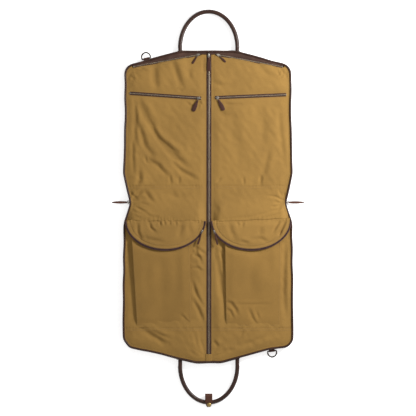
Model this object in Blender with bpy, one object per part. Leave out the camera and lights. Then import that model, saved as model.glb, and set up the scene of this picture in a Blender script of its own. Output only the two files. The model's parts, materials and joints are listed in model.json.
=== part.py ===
"""Folding garment bag, lying open and flat, front side up.

Metres, +Z up. The origin is under the middle of the bag, on the surface it lies on.
+X is to the right, +Y towards the top handle. The bag folds in half at its waist.
"""

import math

import bmesh
import bpy
from mathutils import Matrix, Vector

# ---------------------------------------------------------------- driving sizes
GAP = 0.0003                    # clearance between pieces that touch
FOLD_Y = 0.019                  # the waist, where the bag folds
FOLD_Z = 0.034                  # height of the fold axis over the table
FLAP_Y = -0.039                 # lower waist seam, where the pocket flaps hinge
ZIP_X = 0.003                   # line of the long centre zip

BACK_TOP = 0.0030               # thickness of the back panel
WALL_LOW, WALL_HIGH = 0.0076, 0.0177
FRONT_LOW, FRONT_TOP = 0.0190, 0.0215
PIPE_R = 0.0035                 # leather piping round every edge
PIPE_BACK_Z = PIPE_R + GAP
PIPE_FRONT_Z = FRONT_TOP
EDGE_INSET = 2 * PIPE_R + 0.0005
HOOK_HALF = 0.0125              # half the gap in the top wall for hanger hooks
GUSSET = (0.0030, 0.0052)       # how far in the side wall's two faces lie
TAPE = (0.0002, 0.0018)         # how far in the edge zip's two faces lie
TAPE_LOW, TAPE_HIGH = WALL_LOW + 0.0009, WALL_HIGH - 0.0012

ZIP_HALF = 0.0065               # half width of the centre zip
ZIP_TOP = 0.0222
ZIP_Y = (0.5282, -0.5168)       # the two ends of the centre zip
CHEST_HALF = 0.0050
CHEST_TOP = 0.0232
CHEST_LINES = {
    "left": (Vector((-0.024, 0.375)), Vector((-0.2645, 0.392))),
    "right": (Vector((0.024, 0.377)), Vector((0.265, 0.387))),
}
SHOULDER_HALF = 0.0035
SHOULDER_IN, SHOULDER_OUT = (0.0275, 0.5243), (0.252, 0.4822)

POUCH_LOW, POUCH_HIGH = 0.0172, 0.0187
POUCH_X, POUCH_Y = (0.022, 0.262), (0.180, 0.376)
BRACKET_Y = (0.506, 0.490)      # the steel strap that hanger hooks hang in
BRACKET_HALF, BRACKET_STEEL = 0.030, 0.0015
POST_X, POST_TOP = (0.0150, 0.0165), 0.0150

POCKET_WALL = 0.0025            # the boxed pockets under the flaps
POCKET_LOW = FRONT_TOP + GAP
POCKET_HIGH = 0.0325
POCKET_Y = (-0.406, -0.085)
POCKET_X = {"left": (-0.247, -0.062), "right": (0.061, 0.245)}

FLAP_A, FLAP_B = 0.1375, 0.102  # half axes of a flap with its zip
FLAP_BAND = 0.0070              # width of the zip round a flap
FLAP_X = {"left": -0.145, "right": 0.146}
FLAP_LOW = POCKET_HIGH + GAP
FLAP_TOP = 0.0343
FLAP_SETBACK = 0.002            # from the hinge to the centre of the flap's arc
FLAP_SLIDER_ANGLE = 21          # degrees along the flap's arc from its inner end

HANDLE_X = 0.0025
HANDLE_A, HANDLE_B = 0.0975, 0.1232
HANDLE_R = 0.0070
HANDLE_Z = 0.0115
TOP_HINGE_Y, BOTTOM_HINGE_Y = 0.5478, -0.5368
ANCHOR_LOW, ANCHOR_HIGH = 0.0078, 0.0172
ANCHOR_HALF, ANCHOR_REACH = 0.0011, 0.0110
LOW_ANCHOR_X = (-0.108, 0.111)
LOW_ANCHOR_STEPS = ((0.090, 0.075), (-0.070, -0.085))
LOW_ANCHOR_Y = -0.5295          # the outer edge of its narrow middle

STRAP_WIDTH, STRAP_WALL = 0.025, 0.0020
STRAP_Y = (-0.677, -0.629)
STRAP_BORE = 0.0085             # half the height inside the strap's loop
SNAP_X, SNAP_Y = 0.0040, -0.667
SNAP_R, SNAP_HIGH, SNAP_TAPER = 0.0072, 0.0024, 0.72

RING_WIRE, RING_R, RING_RISE = 0.0021, 0.0150, 0.0060
RING_Z = 0.0128
RING_X = {"top": -0.2085, "bottom": 0.2170}
RING_OUT = 0.0047               # from the bag's edge to the ring's bar
TAB_R, TAB_BORE, TAB_LENGTH = 0.0043, 0.0031, 0.0200

SLIDER = (0.0110, 0.0076, 0.0035)
SMALL_SLIDER = (0.0100, 0.0060, 0.0035)
SLIDER_Y = 0.5215               # the closed place of the centre zip's slider
SHOULDER_START, CHEST_START = 0.0060, 0.0075
PULL_OFFSET = 0.0090            # from a slider's middle to its pull's hinge
PULL_THICK = 0.0018
PULL_LIFT = 0.0008              # from the slider's foot to the underside of its pull
PULL_BACK = 0.0006              # how far a pull reaches behind its hinge
CENTRE_PULL = (0.0115, 0.0470)  # width and length
SHOULDER_PULL = (0.0060, 0.0290)
CHEST_PULL = (0.0115, 0.0410)
FLAP_PULL = (0.0055, 0.0400)
SIDE_PULL = (0.0085, 0.0540)
SHOULDER_WAY = {"left": Vector((-19, -29)), "right": Vector((25, -24))}
CHEST_WAY = {"left": Vector((-19, -43)), "right": Vector((19, -38))}
FLAP_WAY = {"left": Vector((-15, -46)), "right": Vector((11, -43))}
FLAP_SLIDER_LEAN = 0.22

SIDE_LINE = (Vector((0.267, 0.022)), Vector((0.289, 0.121)))
SIDE_START, SIDE_OUT = 0.0075, 0.0003
SIDE_HALF, SIDE_THICK = 0.0060, 0.0038
SIDE_LOW, SIDE_HIGH, SIDE_Z = 0.0088, 0.0162, 0.0125
SIDE_HINGE = 0.0058             # from the side slider's middle outwards to its pull's hinge

# Right half of the outline, from the top middle down: x, y and the corner's radius.
TOP_EDGE = [(0.095, 0.536, 0.060), (0.2845, 0.4855, 0.038), (0.2835, 0.300, 0)]
SIDE_EDGE = [(0.289, 0.121, 0.040), (0.267, 0.022, 0.006), (0.267, 0.016, 0.006)]
LOW_EDGE = [(0.287, -0.050, 0.060), (0.290, -0.300, 0), (0.290, -0.470, 0.036)]
BOTTOM_EDGE = [(0.205, -0.481, 0.060), (0.045, -0.525, 0.060)]

COLOURS = {
    "canvas": ((0.30, 0.175, 0.052), 0.85, 0.0),
    "lining": ((0.16, 0.11, 0.06), 0.80, 0.0),
    "leather": ((0.075, 0.035, 0.024), 0.50, 0.0),
    "zip": ((0.16, 0.105, 0.065), 0.55, 0.3),
    "nickel": ((0.55, 0.52, 0.47), 0.30, 1.0),
    "brass": ((0.62, 0.42, 0.14), 0.30, 1.0),
}


# ---------------------------------------------------------------- plane geometry
def rounded(corners):
    """A polyline through the corners, each turned with an arc of its radius."""
    points = []
    count = len(corners)
    for i, (x, y, radius) in enumerate(corners):
        here = Vector((x, y))
        back = Vector(corners[i - 1][:2]) - here
        ahead = Vector(corners[(i + 1) % count][:2]) - here
        if radius == 0:
            points.append(here)
            continue
        half = back.angle(ahead) / 2
        reach = radius / math.tan(half)
        middle = here + (back.normalized() + ahead.normalized()).normalized() * (
            radius / math.sin(half)
        )
        start = here + back.normalized() * reach - middle
        turn = start.angle_signed(here + ahead.normalized() * reach - middle)
        steps = max(1, round(abs(turn) / math.radians(14)))
        for k in range(steps + 1):
            points.append(middle + Matrix.Rotation(-turn * k / steps, 2) @ start)
    return points


def outline():
    """The whole edge of the bag, counter-clockwise seen from above."""
    right = TOP_EDGE + SIDE_EDGE + LOW_EDGE + BOTTOM_EDGE
    left = [(-x, y, radius) for x, y, radius in reversed(right)]
    return [Vector(p) for p in reversed(rounded(right + left))]


def inset(points, distance):
    """A counter-clockwise polygon moved inwards by a distance."""
    moved = []
    for i, here in enumerate(points):
        into = (here - points[i - 1]).normalized()
        out = (points[(i + 1) % len(points)] - here).normalized()
        across = (into + out).normalized()
        normal = Vector((-across.y, across.x))
        moved.append(here + normal * distance / max(0.5, across.dot(out)))
    return moved


def clip(points, at, normal):
    """The part of a polygon on the side of a line that its normal points to."""
    at, normal = Vector(at), Vector(normal)
    kept = []
    for i, here in enumerate(points):
        before = points[i - 1]
        side, side_before = (here - at).dot(normal), (before - at).dot(normal)
        if side * side_before < 0:
            kept.append(before.lerp(here, side_before / (side_before - side)))
        if side >= 0:
            kept.append(here)
    return kept


def cut_path(path, at, normal):
    """The stretch of an open path on the side of a line that its normal points to."""
    at, normal = Vector(at), Vector(normal)
    kept = [path[0]] if (path[0] - at).dot(normal) >= 0 else []
    for before, here in zip(path, path[1:]):
        side, side_before = (here - at).dot(normal), (before - at).dot(normal)
        if (side < 0) != (side_before < 0):
            kept.append(before.lerp(here, side_before / (side_before - side)))
        if side >= 0:
            kept.append(here)
    return kept


def edge_path(inwards, height, above, side=0):
    """The bag's edge above or below a height, moved inwards, on both sides or one."""
    loop = inset(outline(), inwards)
    way = 1 if above else -1
    start = min(range(len(loop)), key=lambda i: loop[i].y * way)
    path = cut_path(loop[start:] + loop[: start + 1], (0, height), (0, way))
    if side:
        path = cut_path(path, (side * HOOK_HALF, 0), (side, 0))
    return path


def edge_frame(x, top):
    """A point on the bag's edge at x, with the direction outwards."""
    points = outline()
    for i, here in enumerate(points):
        before = points[i - 1]
        on_edge = min(here.y, before.y) > 0.4 if top else max(here.y, before.y) < -0.4
        if on_edge and (before.x - x) * (here.x - x) <= 0 and before.x != here.x:
            along = (here - before).normalized()
            at = before.lerp(here, (x - before.x) / (here.x - before.x))
            return at, Vector((along.y, -along.x))
    raise ValueError("the edge has no point there")


def ellipse(x, y, a, b, start, end, steps):
    """Points along an ellipse between two angles in degrees."""
    angles = [math.radians(start + (end - start) * i / steps) for i in range(steps + 1)]
    return [Vector((x + a * math.cos(t), y + b * math.sin(t))) for t in angles]


def unit(x, y):
    return Vector((x, y)).normalized()


# ---------------------------------------------------------------- solids
def material(name):
    found = bpy.data.materials.get(name)
    if found:
        return found
    colour, roughness, metallic = COLOURS[name]
    made = bpy.data.materials.new(name)
    made.use_nodes = True
    shader = made.node_tree.nodes["Principled BSDF"]
    shader.inputs["Base Color"].default_value = (*colour, 1)
    shader.inputs["Roughness"].default_value = roughness
    shader.inputs["Metallic"].default_value = metallic
    return made


def finish(name, bm, slot, pivot=None, smooth=False):
    """Turns a bmesh in world coordinates into a named object with its origin at pivot."""
    bmesh.ops.recalc_face_normals(bm, faces=bm.faces)
    pivot = Vector(pivot or (0, 0, 0))
    bmesh.ops.translate(bm, verts=bm.verts, vec=-pivot)
    mesh = bpy.data.meshes.new(name)
    bm.to_mesh(mesh)
    bm.free()
    if smooth:
        mesh.shade_smooth()
        mesh.set_sharp_from_angle(angle=math.radians(40))
    made = bpy.data.objects.new(name, mesh)
    made.location = pivot
    made.data.materials.append(material(slot))
    bpy.context.scene.collection.objects.link(made)
    return made


def slab(name, points, low, high, slot, pivot=None):
    """A flat sheet: an outline extruded between two heights."""
    bm = bmesh.new()
    face = bm.faces.new([bm.verts.new((p.x, p.y, low)) for p in points])
    top = bmesh.ops.extrude_face_region(bm, geom=[face])["geom"]
    lifted = [v for v in top if isinstance(v, bmesh.types.BMVert)]
    bmesh.ops.translate(bm, verts=lifted, vec=(0, 0, high - low))
    return finish(name, bm, slot, pivot)


def swept(name, path, profile, slot, closed=False, pivot=None, smooth=False, scales=None):
    """A level path swept with a profile of (sideways, height) points."""
    bm = bmesh.new()
    rings = []
    count = len(path)
    for i, here in enumerate(path):
        before = path[i - 1] if i or closed else here
        after = path[(i + 1) % count] if i + 1 < count or closed else here
        along = (after - before).normalized()
        bend = 1.0
        if before != here and after != here:
            bend = max(0.5, along.dot((after - here).normalized()))
        scale = scales[i] if scales else 1.0
        middle = sum(z for _, z in profile) / len(profile)
        ring = []
        for out, z in profile:
            spot = here + Vector((along.y, -along.x)) * out * scale / bend
            ring.append(bm.verts.new((spot.x, spot.y, middle + (z - middle) * scale)))
        rings.append(ring)
    sides = len(profile)
    for i in range(count if closed else count - 1):
        one, two = rings[i], rings[(i + 1) % count]
        for k in range(sides):
            n = (k + 1) % sides
            bm.faces.new((one[k], one[n], two[n], two[k]))
    if not closed:
        bm.faces.new(rings[0])
        bm.faces.new(rings[-1])
    return finish(name, bm, slot, pivot, smooth)


def band(name, path, half, low, high, slot, pivot=None):
    """A strip of rectangular section along a path."""
    profile = [(-half, low), (half, low), (half, high), (-half, high)]
    return swept(name, path, profile, slot, pivot=pivot)


def wall(name, path, outer, inner, low, high, slot):
    """A standing strip whose outer and inner faces lie at two insets of the path."""
    profile = [(-inner, low), (-outer, low), (-outer, high), (-inner, high)]
    return swept(name, path, profile, slot)


def circle(radius, z, sides):
    turns = [2 * math.pi * (k + 0.5) / sides for k in range(sides)]
    return [(radius * math.cos(t), z + radius * math.sin(t)) for t in turns]


def sleeve(name, middle, along, length, outer, inner, slot, pivot=None):
    """A straight loop of leather: two profiles of (sideways, height), one in the other."""
    bm = bmesh.new()
    across = Vector((along.y, -along.x, 0))
    loops = []
    for profile in (outer, inner):
        for end in (-0.5, 0.5):
            start = Vector(middle) + Vector((along.x, along.y, 0)) * length * end
            loops.append([bm.verts.new(start + across * s + Vector((0, 0, z))) for s, z in profile])
    count = len(outer)
    for k in range(count):
        n = (k + 1) % count
        for one, two in ((0, 1), (1, 3), (3, 2), (2, 0)):
            bm.faces.new((loops[one][k], loops[one][n], loops[two][n], loops[two][k]))
    return finish(name, bm, slot, pivot)


def box_between(bm, low, high):
    made = bmesh.ops.create_cube(bm, size=1)["verts"]
    size = Vector(high) - Vector(low)
    bmesh.ops.scale(bm, verts=made, vec=size)
    bmesh.ops.translate(bm, verts=made, vec=(Vector(high) + Vector(low)) / 2)


# ---------------------------------------------------------------- shell of the bag
def half_panel(side, top):
    """Front canvas on one side of the centre zip, above or below the waist."""
    points = inset(outline(), EDGE_INSET)
    points = clip(points, (ZIP_X + side * (ZIP_HALF + GAP), 0), (side, 0))
    if not top:
        return clip(points, (0, FOLD_Y - GAP), (0, -1))
    points = clip(points, (0, FOLD_Y + GAP), (0, 1))
    inner, outer = shoulder_line(side)
    across = unit(side * (outer - inner).y, -abs((outer - inner).x))
    return clip(points, inner + across * (SHOULDER_HALF + GAP), across)


def shoulder_line(side):
    """The straight shoulder zip, from beside the centre zip to the corner."""
    return [Vector((side * x, y)) for x, y in (SHOULDER_IN, SHOULDER_OUT)]


def build_panels():
    whole = inset(outline(), EDGE_INSET)
    upper = clip(whole, (0, FOLD_Y + GAP), (0, 1))
    lower = clip(whole, (0, FOLD_Y - GAP), (0, -1))
    slab("back_panel_upper", upper, 0, BACK_TOP, "canvas")
    slab("back_panel_lower", lower, 0, BACK_TOP, "canvas")
    for side, word in ((-1, "left"), (1, "right")):
        for top, half in ((True, "upper"), (False, "lower")):
            name = f"front_panel_{half}_{word}"
            slab(name, half_panel(side, top), FRONT_LOW, FRONT_TOP, "canvas")


def build_edges():
    """Side walls, the zip round the edge, and the leather piping."""
    up, down = FOLD_Y + GAP, FOLD_Y - GAP
    for side, word in ((-1, "left"), (1, "right")):
        path = edge_path(0, up, True, side)
        wall(f"gusset_upper_{word}", path, *GUSSET, WALL_LOW, WALL_HIGH, "canvas")
        wall(f"perimeter_zip_upper_{word}", path, *TAPE, TAPE_LOW, TAPE_HIGH, "zip")
    path = edge_path(0, down, False)
    wall("gusset_lower", path, *GUSSET, WALL_LOW, WALL_HIGH, "canvas")
    wall("perimeter_zip_lower", path, *TAPE, TAPE_LOW, TAPE_HIGH, "zip")
    for word, height in (("upper", up), ("lower", down)):
        path = edge_path(PIPE_R, height, word == "upper")
        for face, z in (("front", PIPE_FRONT_Z), ("back", PIPE_BACK_Z)):
            profile = circle(PIPE_R, z, 6)
            swept(f"piping_{face}_{word}", path, profile, "leather", smooth=True)


def build_zips():
    top, bottom = ZIP_Y
    up = [Vector((ZIP_X, top)), Vector((ZIP_X, FOLD_Y + GAP))]
    down = [Vector((ZIP_X, FOLD_Y - GAP)), Vector((ZIP_X, bottom))]
    band("centre_zip_upper", up, ZIP_HALF, FRONT_LOW, ZIP_TOP, "zip")
    band("centre_zip_lower", down, ZIP_HALF, FRONT_LOW, ZIP_TOP, "zip")
    for side, word in ((-1, "left"), (1, "right")):
        line = shoulder_line(side)
        band(f"shoulder_zip_{word}", line, SHOULDER_HALF, FRONT_LOW, ZIP_TOP, "zip")
        line = list(CHEST_LINES[word])
        band(f"chest_zip_{word}", line, CHEST_HALF, FRONT_TOP + GAP, CHEST_TOP, "zip")
        x, y = FLAP_X[word], FLAP_Y - FLAP_SETBACK
        outer = ellipse(x, y, FLAP_A, FLAP_B, 180, 360, 32)
        inner = ellipse(x, y, FLAP_A - FLAP_BAND, FLAP_B - FLAP_BAND, 360, 180, 32)
        slab(f"flap_zip_{word}", outer + inner, FLAP_LOW, FLAP_TOP, "zip")


# ---------------------------------------------------------------- inside the bag
def build_inside():
    for side, word in ((-1, "left"), (1, "right")):
        inner, outer = (side * x for x in POUCH_X)
        low, high = POUCH_Y
        points = [Vector(p) for p in ((inner, low), (outer, low), (outer, high), (inner, high))]
        slab(f"chest_pocket_{word}", points, POUCH_LOW, POUCH_HIGH, "lining")
    # A strap of steel with two posts: hanger necks stand between the posts.
    low = BACK_TOP + GAP
    top = low + BRACKET_STEEL
    near, far = POST_X
    profile = [(-BRACKET_HALF, low), (BRACKET_HALF, low), (BRACKET_HALF, top), (far, top)]
    profile += [(far, POST_TOP), (near, POST_TOP), (near, top)]
    profile += [(-x, z) for x, z in reversed(profile[3:])]
    profile += [(-BRACKET_HALF, top)]
    path = [Vector((0, y)) for y in BRACKET_Y]
    swept("hanger_bracket", path, profile, "nickel")


# ---------------------------------------------------------------- pockets and flaps
def build_pockets():
    low_y, high_y = POCKET_Y
    for word, (low_x, high_x) in POCKET_X.items():
        bm = bmesh.new()
        box_between(bm, (low_x, low_y, POCKET_LOW), (high_x, high_y, POCKET_HIGH))
        pocket = finish(f"bellows_pocket_{word}", bm, "canvas")
        bm = bmesh.new()
        start = (low_x + POCKET_WALL, low_y + POCKET_WALL, POCKET_LOW - 0.01)
        end = (high_x - POCKET_WALL, high_y + 0.01, POCKET_HIGH - POCKET_WALL)
        box_between(bm, start, end)
        cutter = finish(f"pocket_room_{word}", bm, "lining")
        cutter.hide_render = True
        cutter.display_type = "WIRE"
        cut = pocket.modifiers.new("room", "BOOLEAN")
        cut.operation = "DIFFERENCE"
        cut.solver = "EXACT"
        cut.object = cutter


def build_flaps():
    inner_a, inner_b = FLAP_A - FLAP_BAND - GAP, FLAP_B - FLAP_BAND - GAP
    for word, x in FLAP_X.items():
        points = ellipse(x, FLAP_Y - FLAP_SETBACK, inner_a, inner_b, 180, 360, 32)
        pivot = (x, FLAP_Y, (FLAP_LOW + FLAP_TOP) / 2)
        slab(f"flap_{word}", points, FLAP_LOW, FLAP_TOP, "canvas", pivot)


# ---------------------------------------------------------------- handles
def handle_path(hinge_y, way):
    arch = ellipse(HANDLE_X, hinge_y, HANDLE_A, way * HANDLE_B, 0, 180, 30)
    caps = [math.radians(a) for a in (80, 55, 28)]
    start = [arch[0] - Vector((0, way * HANDLE_R * math.sin(t))) for t in caps]
    end = [arch[-1] - Vector((0, way * HANDLE_R * math.sin(t))) for t in reversed(caps)]
    sizes = [math.cos(t) for t in caps]
    return start + arch + end, sizes + [1.0] * len(arch) + sizes[::-1]


def build_handles():
    for word, hinge_y, way in (("top", TOP_HINGE_Y, 1), ("bottom", BOTTOM_HINGE_Y, -1)):
        path, scales = handle_path(hinge_y, way)
        pivot = (HANDLE_X, hinge_y, HANDLE_Z)
        profile = circle(HANDLE_R, HANDLE_Z, 12)
        swept(f"handle_{word}", path, profile, "leather", False, pivot, True, scales)
        # The leather strip on the edge that both ends of the handle are sewn to.
        near = hinge_y - way * (HANDLE_R + GAP)
        if way > 0:
            reach, y = HANDLE_A + ANCHOR_REACH, near - ANCHOR_HALF
            line = [Vector((HANDLE_X + s, y)) for s in (-reach, reach)]
            band("handle_anchor_top", line, ANCHOR_HALF, ANCHOR_LOW, ANCHOR_HIGH, "leather")
        else:
            build_bottom_anchor(near)


def build_bottom_anchor(near):
    """The lower strip follows the bowed bottom edge and widens to meet the handle's ends."""
    left, right = LOW_ANCHOR_X
    (right_out, right_in), (left_in, left_out) = LOW_ANCHOR_STEPS
    edge = cut_path(edge_path(-GAP, FOLD_Y, False), (left, 0), (1, 0))
    edge = cut_path(edge, (right, 0), (-1, 0))
    far = [Vector((x, near)) for x in (right, right_out)]
    far += [Vector((x, LOW_ANCHOR_Y)) for x in (right_in, left_in)]
    far += [Vector((x, near)) for x in (left_out, left)]
    slab("handle_anchor_bottom", edge + far, ANCHOR_LOW, ANCHOR_HIGH, "leather")


def stadium(low, high, half, steps):
    """A flat loop section from low to high with round ends, about height HANDLE_Z."""
    points = []
    for centre, start in ((high - half, -90), (low + half, 90)):
        for k in range(steps + 1):
            turn = math.radians(start + 180 * k / steps)
            points.append((centre + half * math.cos(turn), half * math.sin(turn)))
    return points


def build_snap_strap():
    axis_y = BOTTOM_HINGE_Y - HANDLE_B
    pivot = (HANDLE_X, axis_y, HANDLE_Z)
    near, far = STRAP_Y[1] - axis_y, STRAP_Y[0] - axis_y
    outer = stadium(-near, -far, STRAP_BORE + STRAP_WALL, 8)
    inner = stadium(-near + STRAP_WALL, -far - STRAP_WALL, STRAP_BORE, 8)
    sleeve("snap_strap", pivot, Vector((1, 0)), STRAP_WIDTH, outer, inner, "leather", pivot)
    bm = bmesh.new()
    middle = HANDLE_Z + STRAP_BORE + STRAP_WALL + GAP + SNAP_HIGH / 2
    small = SNAP_R * SNAP_TAPER
    bmesh.ops.create_cone(
        bm, cap_ends=True, segments=16, radius1=SNAP_R, radius2=small, depth=SNAP_HIGH
    )
    bmesh.ops.translate(bm, verts=bm.verts, vec=(SNAP_X, SNAP_Y, middle))
    finish("snap_button", bm, "brass", pivot, True)


# ---------------------------------------------------------------- D-rings
def build_ring(word, x, top):
    at, out = edge_frame(x, top)
    bar = at + out * RING_OUT
    along = Vector((-out.y, out.x))
    pivot = (bar.x, bar.y, RING_Z)
    local = [(-RING_R + 0.002, 0), (RING_R - 0.002, 0), (RING_R - 0.0005, 0.0015)]
    turns = [math.radians(180 * k / 14) for k in range(15)]
    local += [(RING_R * math.cos(t), RING_RISE + RING_R * math.sin(t)) for t in turns]
    local += [(-RING_R + 0.0005, 0.0015)]
    path = [bar + along * s + out * n for s, n in local]
    profile = circle(RING_WIRE, RING_Z, 8)
    swept(f"d_ring_{word}", path, profile, "nickel", True, pivot, True)
    outer = circle(TAB_R, 0, 12)
    inner = circle(TAB_BORE, 0, 12)
    sleeve(f"ring_tab_{word}", pivot, along, TAB_LENGTH, outer, inner, "leather")


# ---------------------------------------------------------------- zip sliders and pulls
def build_slider(name, at, along, base, pull, pull_size, size=SLIDER):
    """A slider on a zip, with its leather pull lying along a direction."""
    pull = pull.normalized()
    width, length = pull_size
    long_side, wide, high = size
    across = Vector((-along.y, along.x))
    corners = [(-0.5, -0.3), (-0.3, -0.5), (0.3, -0.5), (0.5, -0.3)]
    corners += [(-u, -v) for u, v in corners]
    points = [at + along * u * long_side + across * v * wide for u, v in corners]
    pivot = (at.x, at.y, base)
    slab(f"{name}_slider", points, base, base + high, "nickel", pivot)
    hinge = at + pull * PULL_OFFSET
    side = Vector((-pull.y, pull.x))
    shape = [(0, -0.30), (0.35, -0.5), (0.92, -0.5), (1, -0.3)]
    shape += [(u, -v) for u, v in reversed(shape)]
    points = [hinge + pull * (u * length - PULL_BACK) + side * v * width for u, v in shape]
    low = base + PULL_LIFT
    pivot = (hinge.x, hinge.y, low + PULL_THICK / 2)
    slab(f"{name}_pull", points, low, low + PULL_THICK, "leather", pivot)


def build_sliders():
    base = ZIP_TOP + GAP
    at = Vector((ZIP_X, SLIDER_Y))
    build_slider("centre", at, unit(0, 1), base, Vector((0, -1)), CENTRE_PULL)
    for side, word in ((-1, "left"), (1, "right")):
        inner, outer = shoulder_line(side)
        along = (outer - inner).normalized()
        at = inner + along * SHOULDER_START
        build_slider(f"shoulder_{word}", at, along, base, SHOULDER_WAY[word], SHOULDER_PULL)
        inner, outer = CHEST_LINES[word]
        along = (outer - inner).normalized()
        at = inner + along * CHEST_START
        build_slider(f"chest_{word}", at, along, CHEST_TOP + GAP, CHEST_WAY[word], CHEST_PULL)
        at = flap_slider_spot(side, word)
        along = unit(-side * FLAP_SLIDER_LEAN, 1)
        sizes = (FLAP_PULL, SMALL_SLIDER)
        build_slider(f"flap_{word}", at, along, FLAP_TOP + GAP, FLAP_WAY[word], *sizes)
        build_side_slider(side, word)


def flap_slider_spot(side, word):
    """On the inner end of the flap's zip, at its middle line."""
    angle = math.radians(FLAP_SLIDER_ANGLE)
    a, b = FLAP_A - FLAP_BAND / 2, FLAP_B - FLAP_BAND / 2
    x = FLAP_X[word] - side * a * math.cos(angle)
    return Vector((x, FLAP_Y - FLAP_SETBACK - b * math.sin(angle)))


def build_side_slider(side, word):
    """The perimeter zip's slider at the waist, with its pull sticking out sideways."""
    low, high = SIDE_LINE
    along = (high - low).normalized()
    at = low + along * SIDE_START + Vector((along.y, -along.x)) * SIDE_OUT
    path = [Vector((side * p.x, p.y)) for p in (at - along * SIDE_HALF, at + along * SIDE_HALF)]
    thick = side * SIDE_THICK
    profile = [(0, SIDE_LOW), (thick, SIDE_LOW), (thick, SIDE_HIGH), (0, SIDE_HIGH)]
    pivot = (side * at.x, at.y, SIDE_Z)
    swept(f"side_{word}_slider", path, profile, "nickel", pivot=pivot)
    hinge = Vector((side * (at.x + SIDE_HINGE), at.y))
    width, length = SIDE_PULL
    shape = [(0, -0.35), (0.25, -0.5), (0.75, -0.5), (1, -0.2)]
    shape += [(u, -v) for u, v in reversed(shape)]
    points = [hinge + Vector((side * (u * length - PULL_BACK), v * width)) for u, v in shape]
    if side < 0:
        points.reverse()
    low_z = SIDE_Z - PULL_THICK / 2
    slab(f"side_{word}_pull", points, low_z, low_z + PULL_THICK, "leather", (*hinge, SIDE_Z))


# ---------------------------------------------------------------- whole bag
def main():
    for old in list(bpy.data.objects):
        bpy.data.objects.remove(old)
    build_panels()
    build_edges()
    build_zips()
    build_inside()
    build_pockets()
    build_flaps()
    build_handles()
    build_snap_strap()
    build_ring("top", RING_X["top"], True)
    build_ring("bottom", RING_X["bottom"], False)
    build_sliders()


main()
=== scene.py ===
import json
import math

import bmesh
import bpy
import numpy as np
from mathutils import Matrix, Vector


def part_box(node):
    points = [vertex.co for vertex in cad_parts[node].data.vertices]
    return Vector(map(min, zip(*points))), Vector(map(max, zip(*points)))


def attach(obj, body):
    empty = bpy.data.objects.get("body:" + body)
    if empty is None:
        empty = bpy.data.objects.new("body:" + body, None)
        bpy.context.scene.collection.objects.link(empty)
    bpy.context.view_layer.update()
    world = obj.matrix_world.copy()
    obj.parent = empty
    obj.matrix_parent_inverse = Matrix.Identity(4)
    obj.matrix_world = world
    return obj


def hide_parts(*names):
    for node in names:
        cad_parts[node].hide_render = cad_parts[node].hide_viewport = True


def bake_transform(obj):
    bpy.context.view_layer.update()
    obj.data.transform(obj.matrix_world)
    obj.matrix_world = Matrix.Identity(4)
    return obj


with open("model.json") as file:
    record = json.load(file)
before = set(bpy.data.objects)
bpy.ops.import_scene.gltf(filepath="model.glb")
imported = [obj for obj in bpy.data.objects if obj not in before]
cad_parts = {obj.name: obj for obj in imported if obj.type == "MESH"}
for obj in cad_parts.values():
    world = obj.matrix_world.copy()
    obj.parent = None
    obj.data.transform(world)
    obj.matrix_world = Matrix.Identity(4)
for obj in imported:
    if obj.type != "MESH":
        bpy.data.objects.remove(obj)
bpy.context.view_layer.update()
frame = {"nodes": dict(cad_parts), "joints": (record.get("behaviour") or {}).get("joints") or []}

MM = 0.001
SHARP = math.radians(50)        # edges sharper than this stay sharp

# ---------------------------------------------------------------- places from the frame
JOINTS = {j["name"]: j for j in frame["joints"]}
ZIP_LOW, ZIP_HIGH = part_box("centre_zip_upper")
ZIP_X = float(np.mean([ZIP_LOW[0], ZIP_HIGH[0]]))
ZIP_HALF = (ZIP_HIGH[0] - ZIP_LOW[0]) / 2
FRONT_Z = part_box("front_panel_upper_left")[1][2]
PIPE_LOW, PIPE_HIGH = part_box("piping_back_upper")
PIPE_R = (PIPE_HIGH[2] - PIPE_LOW[2]) / 2
PIPE_BACK_Z = PIPE_LOW[2] + PIPE_R
PIPE_FRONT_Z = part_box("piping_front_upper")[0][2] + PIPE_R
FOLD = Vector(JOINTS["waist_fold"]["pos_m"])
FLAP_Y = JOINTS["flap_left_hinge"]["pos_m"][1]
UPPER_SEAM_Y = 2 * FOLD.y - FLAP_Y
FLAP_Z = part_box("flap_left")[1][2]
SEAM_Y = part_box("bellows_pocket_left")[0][1]
POCKET_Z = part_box("bellows_pocket_left")[1][2]
HALVES = ("upper_half", "lower_half")
PANEL_INSET = 0.0075            # from the edge of the piping to the CAD panels' edge
SIDES = ((-1, "left"), (1, "right"))
WORDS = ("left", "right")
HOOK_HALF = 0.0125              # half the gap in the top wall for the hanger hooks


# ---------------------------------------------------------------- curves in the plane
def resample(points, count, closed=False):
    points = np.asarray(points, float)
    if closed:
        points = np.vstack([points, points[:1]])
    steps = np.linalg.norm(np.diff(points, axis=0), axis=1)
    along = np.concatenate([[0], np.cumsum(steps)])
    at = np.linspace(0, along[-1], count + 1 if closed else count)
    found = np.stack([np.interp(at, along, points[:, k]) for k in range(points.shape[1])], 1)
    return found[:-1] if closed else found


def smooth_loop(points, passes):
    for _ in range(passes):
        points = (np.roll(points, 1, 0) + 2 * points + np.roll(points, -1, 0)) / 4
    return points


def directions(points, closed=False):
    if closed:
        ahead = np.roll(points, -1, 0) - np.roll(points, 1, 0)
    else:
        ahead = np.gradient(points, axis=0)
    return ahead / np.linalg.norm(ahead, axis=1)[:, None]


def panel_edge():
    """The plan of the two back panels as one loop, counter-clockwise from the bottom."""
    corners = set()
    for node in ("back_panel_upper", "back_panel_lower"):
        mesh = frame["nodes"][node].data
        corners |= {(round(v.co.x, 5), round(v.co.y, 5)) for v in mesh.vertices}
    from_bottom = lambda p: (math.atan2(p[1], p[0]) + math.pi / 2) % (2 * math.pi)
    return np.array(sorted(corners, key=from_bottom))


LOOP_POINTS = 1000
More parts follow.
